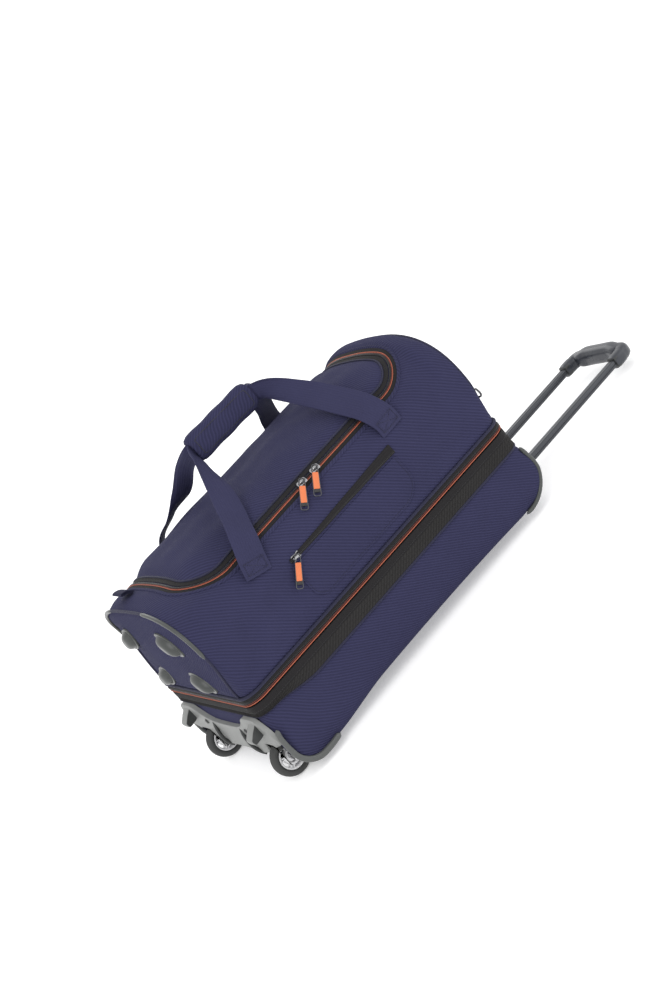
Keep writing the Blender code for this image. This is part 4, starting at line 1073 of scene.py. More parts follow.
def build_base_cloth():
    """The base's fabric: a tray with crowned sides, rounded at its ends, open over the wheels and round the
    tubes."""
    heights = [GUSSET_Z, GUSSET_Z - 2 * MM, GUSSET_Z - 5 * MM]
    heights += list(np.linspace(GUSSET_Z - 9 * MM, BASE_Z + 16 * MM, 20))
    heights += [BASE_Z + d * MM for d in (12, 8.5, 5.8, 3.6, 2.0, 0.9, 0.2, 0)]
    rings, cloth = [], []
    for z in heights:
        ring = base_ring(z)
        normal = outward_normals(ring)
        x, y = ring.T
        xy = ring + normal * base_bulge(x, z, normal)[:, None]
        lifted = z + gusset_rise(x) * smoothstep(z, GUSSET_Z - 45 * MM, GUSSET_Z)
        rings.append(np.column_stack([xy, base_height(x, y, lifted)]))
        cloth.append(np.column_stack([path_length(ring), np.full(len(x), z)]))
    under = np.array(rings[-1])
    for share in np.linspace(0.06, 1, 16):
        ring = under.copy()
        ring[:, 1] = under[:, 1] * (1 - share)
        ring[:, 0] = np.where(np.abs(under[:, 0]) > HALF_W * 0.9,
                              np.sign(under[:, 0]) * (np.abs(under[:, 0]) - 0.12 * share), under[:, 0])
        ring[:, 2] = BASE_Z + (under[:, 2] - BASE_Z) * (1 - smoothstep(share, 0, 0.3))
        rings.append(ring)
        cloth.append(ring[:, :2])
    rings = np.array(rings)
    points = rings.reshape(-1, 3)
    tube_low, tube_high = case_box("outer_tube_back")
    tube = (tube_low + tube_high) / 2

    def is_open(face):
        x, y, z = points[list(face)].mean(axis=0)
        over_wheel = x < WELL_X and WELL_Y[0] < abs(y) < WELL_Y[1] and z < WELL_Z
        round_tube = x > 0.200 and abs(abs(y) - tube[1]) < TUBE_HOLE[0] and abs(z - tube[2]) < TUBE_HOLE[1]
        return over_wheel or round_tube

    faces = [face for face in grid_faces(*rings.shape[:2], wrap_columns=True) if not is_open(face)]
    lined_sheet("base_cloth", points, faces, "base", ("base_shell",), np.array(cloth), 0.1 * MM)


def build_base_trim():
    """Moulded guards on the base's lower corners at the handle end."""
    proud = 2.4 * MM
    centre_x, centre_z = HALF_L - BASE_CORNER_HANDLE, BASE_Z + BASE_CORNER_HANDLE
    radius = BASE_CORNER_HANDLE + proud
    angle = np.radians(np.linspace(0, -90, 40))
    arc = np.column_stack([centre_x + radius * np.cos(angle), centre_z + radius * np.sin(angle)])
    upper = np.column_stack([np.full(8, HALF_L + proud),
                             np.linspace(GUSSET_Z - 6 * MM, centre_z, 8, endpoint=False)])
    tail = np.column_stack([np.linspace(centre_x, centre_x - 8 * MM, 6)[1:], np.full(5, centre_z - radius)])
    x, z = np.vstack([upper, arc, tail]).T
    turned = np.concatenate([np.zeros(8), angle, np.full(5, -math.pi / 2)])
    sunk = base_corner(z) * (1 - math.sqrt(0.5))
    x = x - sunk * np.cos(turned)
    z = z - sunk * np.sin(turned)
    for side, label in SIDES:
        y = side * (HALF_W + proud) - side * sunk
        path = respace(np.column_stack([x, y, base_height(x, y, z)]), 2.5 * MM)
        tube_piece(f"base_guard_{label}", path, 4 * MM, foot_plastic, (0, side, 0), "base", "grey_plastic",
                   (f"base_corner_guard_{label}",), round_profile(2.7 * MM, 2.9 * MM, 16, 2.4), 9 * MM)


# ---------------------------------------------------------------- front pocket

POCKET_X = (-100 * MM, 104 * MM)
POCKET_Z = (149 * MM, 208 * MM)


def s_of_z(z):
    """s on the front wall at that height."""
    return -(S_CURVE + WALL_TOP_Z - z)


def build_pocket():
    """A flat patch pocket under its own zip: a lightly puffed panel with a turned and stitched edge."""
    outline = rounded_rectangle(*POCKET_X, *POCKET_Z, (22 * MM, 32 * MM, 3 * MM, 3 * MM), 10)
    edge = respace(np.stack([outline[:, 0], s_of_z(outline[:, 1])], axis=1), 3 * MM, closed=True)
    half = (POCKET_Z[1] - POCKET_Z[0]) / 2
    spine = np.stack([np.clip(edge[:, 0], POCKET_X[0] + half, POCKET_X[1] - half),
                      np.full(len(edge), s_of_z(sum(POCKET_Z) / 2))], axis=1)
    shares = [0, 0.0, 0.02, 0.05, 0.09, 0.13, 0.2, 0.3, 0.42, 0.55, 0.7, 0.85, 1]
    rises = [-0.3, 0.7, 1.15, 1.1, 0.75, 0.85, 1.3, 1.7, 2.0, 2.2, 2.3, 2.3, 2.3]
    rings = np.array([edge + (spine - edge) * share for share in shares])
    w, s = rings[..., 0], rings[..., 1]
    points = case_place(w, s, np.broadcast_to(np.array(rises)[:, None] * MM, w.shape))
    add_piece("pocket_panel", points, grid_faces(*w.shape, wrap_columns=True), navy_fabric, "case",
              "navy_fabric", ("front_pocket",), surface_weave(w, s), SHEET_ANGLE, CASE_MIDDLE)
    path, normal = ordered_run(edge, outward_normals(edge), edge[:, 1] < s_of_z(POCKET_Z[1] - 3 * MM))
    studs_on_case("pocket_stitch", path, normal, -3.1 * MM, 0.95 * MM, STITCH_PITCH, STITCH, navy_thread,
                  "case", "navy_fabric", 0.7)


def build_pocket_zip():
    """The pocket's zip: a raised black strip that tapers towards the closed slider, with its coil along the
    lower edge. The strip is partly zip tape and partly painted shade, which makes up its wider part.
    """
    x = np.linspace(-96, 106, 90) * MM
    share = (x - x[0]) / (x[-1] - x[0])
    # The strip's widening is painted shade beside the zip's tape.
    low_z = (212.5 - 1.6 * share) * MM
    high_z = (218.5 + 6.5 * share) * MM
    tape_and_shade = ((0, -0.2), (0.04, 1.9), (0.3, 2.1), (0.6, 2.0), (0.9, 1.9), (0.97, 1.6), (1, -0.2))
    rows = np.array([case_place(x, s_of_z(low_z + (high_z - low_z) * part), rise * MM)
                     for part, rise in tape_and_shade])
    cloth = np.stack(np.broadcast_arrays(np.linspace(0, 12 * MM, len(tape_and_shade))[:, None], x[None]), axis=2)
    add_piece("pocket_zip_tape_and_shade", rows, grid_faces(*rows.shape[:2]), black_tape, "case", "black_fabric",
              ("pocket_zip_tape",), cloth, 50, CASE_MIDDLE)
    path = np.stack([x, s_of_z(low_z + 2.6 * MM)], axis=1)
    normal = np.tile([0.0, 1.0], (len(x), 1))
    studs_on_case("pocket_zip_coil", path, normal, 0, 1.6 * MM, COIL_PITCH, (2.8 * MM, 0.8 * MM), coil_nylon,
                  "case", "black_fabric", COIL_DUTY, COIL_LEAN)


# ---------------------------------------------------------------- carry handles

GRIP = np.array([10, -10, 368]) * MM            # the middle of the joined grip
GRIP_LENGTH = 112 * MM
STRAP_WIDTH, GATHERED_WIDTH = 38 * MM, 24 * MM  # of the webbing, free and inside the grip
STRAP_THICK = 2.6 * MM
STRAP_END_X = 127 * MM
BACK_TWIST = math.radians(58)                   # of the back strap's fall nearer the wheels


def strap_path(side):
    """The webbing's middle line, from its sewn end nearer the wheels over the joined grip to the other."""
    middle_y, mouth_y = GRIP[1] + side * 3.6 * MM, GRIP[1] + side * 4.6 * MM
    left, right = GRIP[0] - GRIP_LENGTH / 2, GRIP[0] + GRIP_LENGTH / 2
    z = GRIP[2]
    if side < 0:
        hanging = [(-0.097, -0.1180, 0.300), (-0.078, -0.0850, 0.325), (left - 12 * MM, -0.0380, 0.3535)]
    else:
        hanging = [(-0.093, 0.1180, 0.2975), (-0.067, 0.0850, 0.319), (left - 9 * MM, 0.0380, 0.3495)]
    points = [
        (-STRAP_END_X - 8 * MM, side * 0.1560, 0.233), (-STRAP_END_X - 2 * MM, side * 0.1555, 0.253),
        (-0.114, side * 0.1440, 0.2795), *hanging, (left - 2 * MM, mouth_y, z - 1 * MM),
        (left + 20 * MM, middle_y, z), (GRIP[0], middle_y, z), (right - 20 * MM, middle_y, z),
        (right + 2 * MM, mouth_y, z - 1 * MM), (right + 18 * MM, side * 0.0330, 0.3575),
        (0.102, side * 0.0750, 0.327), (0.113, side * 0.1150, 0.300), (0.121, side * 0.1440, 0.2775),
        (STRAP_END_X - 1 * MM, side * 0.1560, 0.254), (STRAP_END_X, side * 0.1560, 0.235),
    ]
    return curve_through(points, 2.5 * MM)


def strap_frame(path):
    """How far each point is beyond the grip, and the webbing's width direction there."""
    ahead = tangents(path)
    beyond = np.maximum(np.abs(path[:, 0] - GRIP[0]) - GRIP_LENGTH / 2, 0)
    upright = np.array([0.0, 0.0, -1.0])
    leaning = unit(np.stack([ahead[:, 2], np.zeros(len(path)), -ahead[:, 0]], axis=1))
    share = np.clip(beyond / (30 * MM), 0, 1)[:, None]
    return beyond, unit(upright + (leaning - upright) * share)


def webbing_profile(beyond, side):
    """The webbing's section at each point: gathered and rumpled near the grip, slightly curled beyond it."""
    angle = np.arange(28) * TAU / 28
    flat, deep = squared(angle, 0.35)[0][None], squared(angle, 0.45)[1][None]
    beyond = beyond[:, None]
    widths = GATHERED_WIDTH + (STRAP_WIDTH - GATHERED_WIDTH) * smoothstep(beyond, 0, 50 * MM)
    gather = 1 - smoothstep(beyond, 6 * MM, 46 * MM)
    rumple = gather * 1.3 * MM * np.cos(flat * 7.5 + side) * smoothstep(beyond, 0, 8 * MM)
    curl = 0.9 * MM * (flat ** 2 - 0.4) * smoothstep(beyond, 20 * MM, 60 * MM)
    return np.stack([flat * widths / 2, deep * STRAP_THICK / 2 + rumple + curl], axis=2)


def build_carry_handles():
    """Each strap runs from one sewn end on the case over the joined grip to the other."""
    for side, label in SIDES:
        path = strap_path(side)
        beyond, across = strap_frame(path)
        if side > 0:
            turn = BACK_TWIST * smoothstep(beyond, 6 * MM, 45 * MM) * (1 - smoothstep(beyond, 0.095, 0.150))
            turn = np.where(path[:, 0] < GRIP[0], turn, 0)[:, None]
            across = across * np.cos(turn) + np.cross(tangents(path), across) * np.sin(turn)
        profile = webbing_profile(beyond, side)
        points, faces = loft(sweep(path, across, profile))
        run = np.broadcast_to(path_length(path)[:, None], profile.shape[:2])
        cloth = np.stack([profile[..., 0], run], axis=2)
        strap = add_piece(f"carry_webbing_{label}", points, faces, webbing, None, "webbing",
                          (f"carry_strap_{label}",), cloth, 50)
        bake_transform(strap)
        build_strap_stitches(side, label, path, across)
    build_grip_wrap()
    build_grip_flap()


def build_strap_stitches(side, label, path, across):
    """A box of stitches with a cross through it on each sewn end, in the webbing's own directions."""
    run = path_length(path)
    corners = np.array([(-14, -8), (14, -8), (14, 8), (-14, 8), (-14, -8), (14, 8), (14, -8), (-14, 8)]) * MM
    line = respace(corners, 2.8 * MM)
    for end, distance in (("wheel", 13 * MM), ("handle", run[-1] - 13 * MM)):
        i = int(np.abs(run - distance).argmin())
        ahead = unit(path[i + 2] - path[i - 2])
        outward = unit(np.cross(ahead, across[i]))
        outward = outward * np.sign(outward[1]) * side
        position = path[i] + across[i] * line[:, :1] + ahead * line[:, 1:] + outward * 1.5 * MM
        studs(f"carry_stitch_{label}_{end}", position, np.tile(outward, (len(line), 1)), 2.0 * MM, STITCH,
              navy_thread, "case", "webbing")


def build_grip_wrap():
    """The padded sleeve round the joined straps, on the front handle: a puffed channel open at the back."""
    y0, z0 = GRIP[1] + 0.4 * MM, GRIP[2]
    length = GRIP_LENGTH + 2 * MM
    stations = np.linspace(-1, 1, 49)
    stations = np.sign(stations) * (1 - (1 - np.abs(stations)) ** 1.5)
    angle = np.radians(np.linspace(52, 308, 53))
    outer, inner = squared(angle, 0.72), squared(angle, 0.5)
    around = np.concatenate([angle, angle[::-1]]) * 17 * MM
    rings, cloth = [], []
    for station in stations:
        near = 1 - abs(station)
        rounding = 1 - math.sqrt(max(1 - (1 - min(near / 0.14, 1)) ** 2, 0))
        crease = 0.45 * MM * math.cos(station * 9) * min(near / 0.15, 1)
        border = -0.7 * MM * bell(near - 0.085, 0.02)
        half_y = 12.6 * MM * (1 - 0.16 * rounding) + crease + border
        half_z = 20.0 * MM * (1 - 0.32 * rounding) + crease + border
        inner_half_y, inner_half_z = 7.6 * MM, min(15.2 * MM, half_z - 1.5 * MM)
        y = np.concatenate([y0 + half_y * outer[0], (y0 + inner_half_y * inner[0])[::-1]])
        z = np.concatenate([z0 + half_z * outer[1], (z0 + inner_half_z * inner[1])[::-1]])
        x = np.full(len(y), GRIP[0] + station * length / 2)
        rings.append(np.column_stack([x, y, z]))
        cloth.append(np.column_stack([around, x]))
    points, faces = loft(rings)
    wrap = add_piece("grip_wrap_pad", points, faces, navy_fabric, "front_carry_handle", "webbing",
                     ("grip_wrap",), np.array(cloth), 50)

    outline = rounded_rectangle(-0.85, 0.85, -0.80, 0.80, (0.12,) * 4, 3)
    x, z = respace(outline * (length / 2, 15.5 * MM), 3.0 * MM, closed=True).T
    bow = np.clip(np.abs(z) / (20 * MM), 0, 1)
    y = y0 - 12.8 * MM * (1 - bow ** 2.8) ** 0.36
    up = unit(np.column_stack([np.zeros(len(x)), -np.ones(len(x)), 0.5 * z / (15 * MM)]))
    studs("grip_wrap_stitch", np.column_stack([GRIP[0] + x, y, z0 + z]), up, 2.6 * MM, (1.1 * MM, 0.45 * MM),
          black_rubber, "front_carry_handle", "webbing")


def build_grip_flap():
    """The flap that closes the sleeve, on the back handle: flat on its front and domed on its back."""
    low, high = case_box("grip_flap")
    xs, zs = np.linspace(low[0], high[0], 33), np.linspace(low[2], high[2], 21)
    u = np.abs(xs - (xs[0] + xs[-1]) / 2)[:, None] / ((xs[-1] - xs[0]) / 2)
    v = np.abs(zs - (zs[0] + zs[-1]) / 2)[None] / ((zs[-1] - zs[0]) / 2)
    dome = np.sqrt(np.clip(1 - u ** 6, 0, None)) * np.sqrt(np.clip(1 - v ** 4, 0, None))
    x, z = np.meshgrid(xs, zs, indexing="ij")
    thin = low[1] + 0.3 * MM
    points = np.array([(x, np.full(x.shape, thin), z), (x, thin + (high[1] - thin) * dome, z)])
    points = points.transpose(0, 2, 3, 1).reshape(-1, 3)
    faces = grid_faces(*x.shape) + grid_faces(*x.shape, first=x.size)
    flap = add_piece("grip_flap_pad", points, faces, navy_fabric, "back_carry_handle", "webbing",
                     ("grip_flap",), points[:, [0, 2]], 50)


# ---------------------------------------------------------------- feet, tabs and ring

FOOT_HALF_LENGTH, FOOT_HALF_WIDTH = 29 * MM, 14.5 * MM
FOOT_TILT = {"top": math.radians(40), "low": math.radians(32)}
# (share of the outline, share of the height) from the flange's root up to the dome.
FOOT_STEPS = [
    (1.0, -0.04), (1.0, 0.10), (0.985, 0.17), (0.93, 0.20), (0.86, 0.20), (0.83, 0.15), (0.80, 0.24),
    (0.76, 0.44), (0.68, 0.66), (0.56, 0.84), (0.42, 0.95), (0.26, 1.0), (0.1, 1.0),
]


def lens_outline():
    """Two arcs that meet in slightly blunted tips."""
    radius = (FOOT_HALF_LENGTH ** 2 + FOOT_HALF_WIDTH ** 2) / (2 * FOOT_HALF_WIDTH)
    angle = np.linspace(-1, 1, 25) * math.asin(FOOT_HALF_LENGTH / radius)
    arc = np.column_stack([radius * np.sin(angle), radius * np.cos(angle) - radius + FOOT_HALF_WIDTH])
    outline = np.vstack([arc, -arc[1:-1]])
    outline[:, 0] *= 1 - 0.05 * smoothstep(np.abs(outline[:, 0]) / FOOT_HALF_LENGTH, 0.85, 1)
    return outline


def build_feet():
    """Lens-shaped feet on the wheel end: a flange on the cloth and a domed middle."""
    outline = lens_outline()
    base_x = -HALF_L - 3.4 * MM
    for row, tilt in FOOT_TILT.items():
        for side, label in SIDES:
            name = f"{row}_{label}"
            low, high = case_box(f"end_foot_{name}")
            _, middle_y, middle_z = (low + high) / 2
            cos, sin = math.cos(-side * tilt), math.sin(-side * tilt)
            rings = []
            for share, height in FOOT_STEPS:
                u, v = (outline * share).T
                x = np.full(len(u), base_x + (low[0] - base_x) * height)
                rings.append(np.column_stack([x, middle_y + u * cos - v * sin, middle_z + u * sin + v * cos]))
            add_part(f"foot_{name}", loft(rings), foot_plastic, "case", "grey_plastic", (f"end_foot_{name}",))


def build_tabs():
    """The webbing loop at the top of the wheel end, and the tab that holds the handle end's ring."""
    low, high = case_box("wheel_end_tab")
    x, y, _ = (low + high) / 2
    loop = [(5, 1), (-1, 7), (-9, 9.5), (-11.5, 8.2), (-9, 6.8), (-1, 4.2), (2, 0)]
    path = curve_through([(x + dx * MM, y, low[2] + dz * MM) for dx, dz in loop], 1.5 * MM)
    tube_piece("wheel_end_loop", path, 18 * MM, webbing_dark, (0, math.copysign(1, y), 0), "case", "webbing",
               ("wheel_end_tab",), round_profile((high[1] - low[1]) / 2 - 1 * MM, 1.2 * MM, 20, 6))
    low, high = case_box("handle_end_tab")
    x, y = HALF_L + 2.0 * MM, (low[1] + high[1]) / 2
    path = curve_through([(x + 0.5 * MM, y, high[2]), (x + 3.5 * MM, y, (high[2] + low[2]) / 2),
                          (high[0] - 1.2 * MM, y, low[2] + 1 * MM)], 1.5 * MM)
    tube_piece("handle_end_loop", path, 11 * MM, webbing_dark, (0, 1, 0), "case", "webbing",
               ("handle_end_tab",), round_profile((high[1] - low[1]) / 2, 1.3 * MM, 20, 6))


# ---------------------------------------------------------------- zip sliders and pullers

def frame_of(normal, ahead):
    """A 3x3 whose columns are ahead, across and normal."""
    normal = unit(normal)
    across = unit(np.cross(normal, ahead))
    return np.column_stack([unit(np.cross(across, normal)), across, normal])


def placed(points, origin, turn):
    """Points moved from the local frame whose axes are turn's columns."""
    return np.asarray(points) @ turn.T + origin


SLIDER_SCALE = 1.18               # of the sizes below, which are in mm
SLIDER_PLATE = [(-6.2, -2.2), (-4.4, -3.6), (0.5, -2.9), (4.6, -3.8), (6.0, -2.6),
                (6.0, 2.6), (4.6, 3.8), (0.5, 2.9), (-4.4, 3.6), (-6.2, 2.2)]
SLIDER_LAYERS = ((0.94, 1.0), (1.0, 1.3), (1.0, 2.0), (0.9, 2.3))       # (scale, height) of the plate
SLIDER_LOOP = [(-4.6, 0, 1.8), (-4.2, 0, 3.6), (-2.6, 0, 4.9), (0.0, 0, 5.3), (2.6, 0, 4.9), (4.2, 0, 3.6),
               (4.6, 0, 1.8)]
PULL_HALF = 22 * MM               # half the length of a puller's wire frame
PULL_LAYERS = ((0.9, -1.0), (1.0, -0.6), (1.0, 0.5), (0.93, 0.85), (0.8, 1.0), (0.72, 0.86))
ACROSS, UPRIGHT = (0, 1, 0), (0, 0, 1)


def slider_part(origin, turn):
    """A slider: a waisted plate with a loop on top for its puller."""
    outline = np.array(SLIDER_PLATE) * MM
    plate = loft([flat_ring(outline * scale, z * MM) for scale, z in SLIDER_LAYERS])
    path = curve_through(np.array(SLIDER_LOOP) * MM, 0.8 * MM)
    loop = loft(sweep(path, ACROSS, round_profile(1.35 * MM, 0.6 * MM, 8, 3)))
    points, faces = merge_parts([(placed(points, origin, turn), faces) for points, faces in (plate, loop)])
    return origin + (points - origin) * SLIDER_SCALE, faces


def pull_frame_part(middle, turn):
    """A puller's wire frame, narrower towards the slider."""
    half = PULL_HALF
    outline = rounded_rectangle(-half, half - 1 * MM, -4.6 * MM, 4.6 * MM, (2.6 * MM,) * 4, 5)
    outline[:, 1] *= 0.78 + 0.22 * smoothstep(outline[:, 0], -half, -half + 12 * MM)
    path = respace(flat_ring(outline, 0), 1.2 * MM, closed=True)
    rings = sweep(path, UPRIGHT, round_profile(0.6 * MM, 0.6 * MM, 8, 3), closed=True)
    return placed(rings.reshape(-1, 3), middle, turn), grid_faces(*rings.shape[:2], True, True)


def pull_block_part(start, end, half_width, half_height, middle, turn):
    """A moulded block round the wire, from start to end along the puller, with its edges rounded."""
    outline = rounded_rectangle(start * MM, end * MM, -half_width * MM, half_width * MM, (1.2 * MM,) * 4, 4)
    centre = np.array([(start + end) / 2 * MM, 0])
    rings = []
    for shrink, height in PULL_LAYERS:
        flat = centre + (outline - centre) * (1 - (1 - shrink) * np.array([0.35, 1.0]))
        rings.append(flat_ring(flat, height * half_height * MM))
    points, faces = loft(rings)
    return placed(points, middle, turn), faces


def build_slider(node, normal, ahead, pull_normal, hang):
    """Replaces a CAD slider and its puller: a metal slider, and a wire frame with a moulded tab and stop."""
    low, high = case_box(f"{node}_slider")
    normal = unit(np.array(normal, float))
    turn = frame_of(normal, np.array(ahead, float))
    slider = slider_part((low + high) / 2 - normal * 2.4 * MM, turn)
    add_part(f"{node}_slider_body", slider, slider_metal, node, "steel", (f"{node}_slider",), 35)

    body = f"{node}_pull"
    low, high = case_box(f"{node}_puller")
    middle = (low + high) / 2
    pull_normal = unit(np.array(pull_normal, float))
    hang = np.array(hang, float)
    turn = frame_of(pull_normal, unit(hang - pull_normal * hang.dot(pull_normal)))
    tab = pull_block_part(-11.5, 11.5, 3.9, 1.2, middle, turn)
    stop = pull_block_part(11.5, 16.0, 3.8, 1.1, middle, turn)
    add_part(f"{node}_pull_frame", pull_frame_part(middle, turn), gunmetal, body, "steel", smooth=50)
    add_part(f"{node}_pull_tab", tab, orange_plastic, body, "orange_plastic", (f"{node}_puller",), 45)
    add_part(f"{node}_pull_stop", stop, black_rubber, body, "dark_plastic", smooth=45)


def build_sliders():
    """The sliders stand on their zips, and the pullers hang towards the lower, wheel end."""
    hang = (-0.64, 0, -0.77)
    shoulder = (0, -0.866, 0.5)
    for node in ("lid_zip_a", "lid_zip_b"):
        low, high = case_box(f"{node}_slider")
        normal = bare_normal((low[0] + high[0]) / 2, s_of_y(-(LID_Y + 4.8 * MM)))
        build_slider(node, normal, (1, 0, 0), shoulder, hang)
    build_slider("pocket_zip", (0, -1, 0), (1, 0, 0), (0, -1, 0), hang)
    build_slider("expansion_zip", (0, 1, 0), (-1, 0, 0), (0, 1, 0), (0.64, 0, -0.77))


# ---------------------------------------------------------------- wheels and housing

TYRE_RADIUS = 27.5                # of the tyre's section below, in mm
# The tyre's section, with a fine groove round its middle: (radius in mm, share of the half width).
TREAD = [(18.2, 0.72), (19.4, 0.94), (21.6, 1.0), (24.2, 0.93), (26.2, 0.70), (27.1, 0.42), (27.45, 0.16),
         (27.1, 0.13)]
RIM = [(15.6, -5.6), (16.4, -6.6), (17.6, -6.9), (18.2, -6.2), (18.2, 6.2), (17.6, 6.9), (16.4, 6.6),
       (15.6, 5.6), (15.2, 3.0), (15.2, -3.0)]
BOSS = [(8.2, -7.4), (9.2, -8.0), (10.6, -7.6), (11.2, -6.2), (11.2, 6.2), (10.6, 7.6), (9.2, 8.0),
        (8.2, 7.4)]
SPOKE_LOW, SPOKE_HIGH = (10.6 * MM, -4.6 * MM, -1.0 * MM), (15.8 * MM, 4.6 * MM, 1.0 * MM)
SPOKES = 5                        # pairs of spokes
SPOKE_SPREAD = 0.13               # half the angle between the two of a pair


def hub_part(centre):
    """A rim and a boss joined by pairs of spokes."""
    parts = [lathe_part([(r * MM, a * MM) for r, a in shape], centre, 64) for shape in (RIM, BOSS)]
    for k in range(SPOKES):
        angle = TAU * (k + 0.25) / SPOKES
        for offset in (-SPOKE_SPREAD, SPOKE_SPREAD):
            place = Matrix.Translation(centre) @ Matrix.Rotation(-(angle + offset), 4, "Y")
            parts.append(box_part(SPOKE_LOW, SPOKE_HIGH, 0.5 * MM, place))
    return merge_parts(parts)


def build_wheels():
    """A tyre and a spoked hub on each wheel's body."""
    section = [(r, -a) for r, a in TREAD] + TREAD[::-1]
    for _, label in SIDES:
        low, high = case_box(f"tyre_{label}")
        centre, half = (low + high) / 2, (high - low) / 2
        scale = half[0] / TYRE_RADIUS
        tyre = lathe_part([(r * scale, a * half[1]) for r, a in section], centre, 96)
        body = f"{label}_wheel"
        add_part(f"tyre_tread_{label}", tyre, tyre_rubber, body, "tyre_rubber", (f"tyre_{label}",), 50)
        add_part(f"hub_spokes_{label}", hub_part(centre), hub_plastic, body, "hub_plastic", (f"hub_{label}",))


def bevelled_prism(outline, x_low, x_high, edge):
    """A (y, z) outline given depth along x, with a chamfer round its face towards the wheels."""
    outline = np.asarray(outline, float)
    middle = outline.mean(axis=0)
    size = np.abs(outline - middle).max(axis=0)
    rings = []
    for x, inset in ((x_low, edge), (x_low + edge * 0.3, edge * 0.3), (x_low + edge, 0.0), (x_high, 0.0)):
        rings.append(upright_ring(x, middle + (outline - middle) * (1 - inset / size)))
    return loft(rings)


# Half of the plate's outline as (y, z), from the dip in its top edge round to the middle of its lower edge.
HOUSING_HALF = [
    (24, 79), (40, 80), (58, 84), (72, 91), (84, 100), (94, 103), (124, 103), (132, 99), (144, 86), (153, 70),
    (154, 64), (150, 61), (134, 57), (127, 54), (124, 58), (96, 58), (92, 52), (86, 43), (76, 37), (58, 34),
    (30, 36),
]
# A wedge's side and its hollow's side as (x from the plate, z), and the wedge's shrink at each y.
WEDGE_SIDE = [(7, 100.5), (5.5, 99.5), (-8, 90.5), (-16.6, 83.4), (-17.6, 81.5), (-16.6, 77), (-15, 75.2),
              (-3, 76), (7, 80)]
HOLLOW_SIDE = [(6.5, 99.3), (-7.8, 90.1), (-15.8, 83.4), (-16.4, 81.2), (-15.4, 77), (-14, 75.9),
               (-3, 76.8), (6.5, 80.3)]
WEDGE_LAYERS = ((105, 0.86), (106.2, 0.97), (108, 1.0), (122, 1.0), (123.8, 0.97), (125, 0.86))
WEDGE_MIDDLE_Z = 86 * MM
HOLLOW_Y = (105.4, 124.6)
# A fin's curve as (x from the plate, z), and the wheel well's section as (y, radius).
FIN = [(4.0, 80), (0.5, 74), (-2.2, 66), (-3.6, 56), (-3.2, 46), (-0.6, 37), (3.0, 31)]
WELL_SECTION = ((97, 30.2), (123, 30.2), (123, 32.0), (97, 32.0))
WELL_WALLS = ((95.6, 97.0, 20), (123.0, 124.4, 46))                      # (y from, y to, lower edge)


def housing_plate(front):
    """The plate up the end: a dip in the middle of its top edge, and its lower edge cut round the wheels."""
    half = np.array(HOUSING_HALF) * MM
    outline = np.vstack([half, (half * (-1, 1))[::-1]])
    return bevelled_prism(respace(outline, 4 * MM, closed=True), front, front + 6.5 * MM, 1.2 * MM)


def kick_block(side, front):
    """The wedge over a wheel: it slopes out to a nose level with the tyre, then cuts back under."""
    x, z = np.array(WEDGE_SIDE).T * MM
    rings = []
    for y, shrink in WEDGE_LAYERS:
        rings.append(np.column_stack([front + x * shrink + 0.8 * MM * (1 - shrink),
                                      np.full(len(x), side * y * MM),
                                      WEDGE_MIDDLE_Z + (z - WEDGE_MIDDLE_Z) * shrink]))
    return loft(rings)


def block_inset(side, front, y):
    """The dark hollow side of a wedge."""
    x, z = np.array(HOLLOW_SIDE).T * MM
    return loft([np.column_stack([front + x, np.full(len(x), side * y * MM + dy * MM), z])
                 for dy in (-0.5, 0.5)])


def fin(side, front):
    """A shallow curved rib down the plate beside each wheel."""
    x, z = np.array(FIN).T * MM
    y = side * (47 + 9 * np.linspace(0, 1, len(x)) ** 2) * MM
    path = curve_through(np.column_stack([front + x, y, z]), 2 * MM)
    return loft(sweep(path, ACROSS, round_profile(2.1 * MM, 2.6 * MM, 10, 2.6)))


def wheel_arch(side, front):
    """The well over a wheel: a half drum, its inboard wall down to the axle, and a short outboard wall."""
    low, high = case_box("tyre_back")
    x, _, z = (low + high) / 2
    angle = np.radians(np.linspace(-12, 192, 33))
    rings = []
    for y, radius in WELL_SECTION:
        rings.append(np.column_stack([np.maximum(x + radius * MM * np.cos(angle), front + 1 * MM),
                                      np.full(len(angle), side * y * MM), z + radius * MM * np.sin(angle)]))
    parts = [loft(np.array(rings).transpose(1, 0, 2))]
    for y0, y1, z_low in WELL_WALLS:
        y_low, y_high = sorted((side * y0, side * y1))
        parts.append(box_part((front + 2 * MM, y_low * MM, z_low * MM), (x + 31 * MM, y_high * MM, 60 * MM),
                              0.5 * MM))
    return parts


def build_housing():
    """The wheel housing: plate, wedges, fins and wheel wells."""
    front = case_box("wheel_housing")[0][0] + 0.8 * MM
    plate = merge_parts([housing_plate(front)] + [kick_block(side, front) for side, _ in SIDES])
    add_part("housing_plate", plate, housing_plastic, "base", "grey_plastic", ("wheel_housing",), 32)
    dark = [block_inset(side, front, y) for side, _ in SIDES for y in HOLLOW_Y]
    dark += [fin(side, front) for side, _ in SIDES]
    for side, _ in SIDES:
        dark += wheel_arch(side, front)
    add_part("housing_wells", merge_parts(dark), dark_plastic, "base", "grey_plastic")


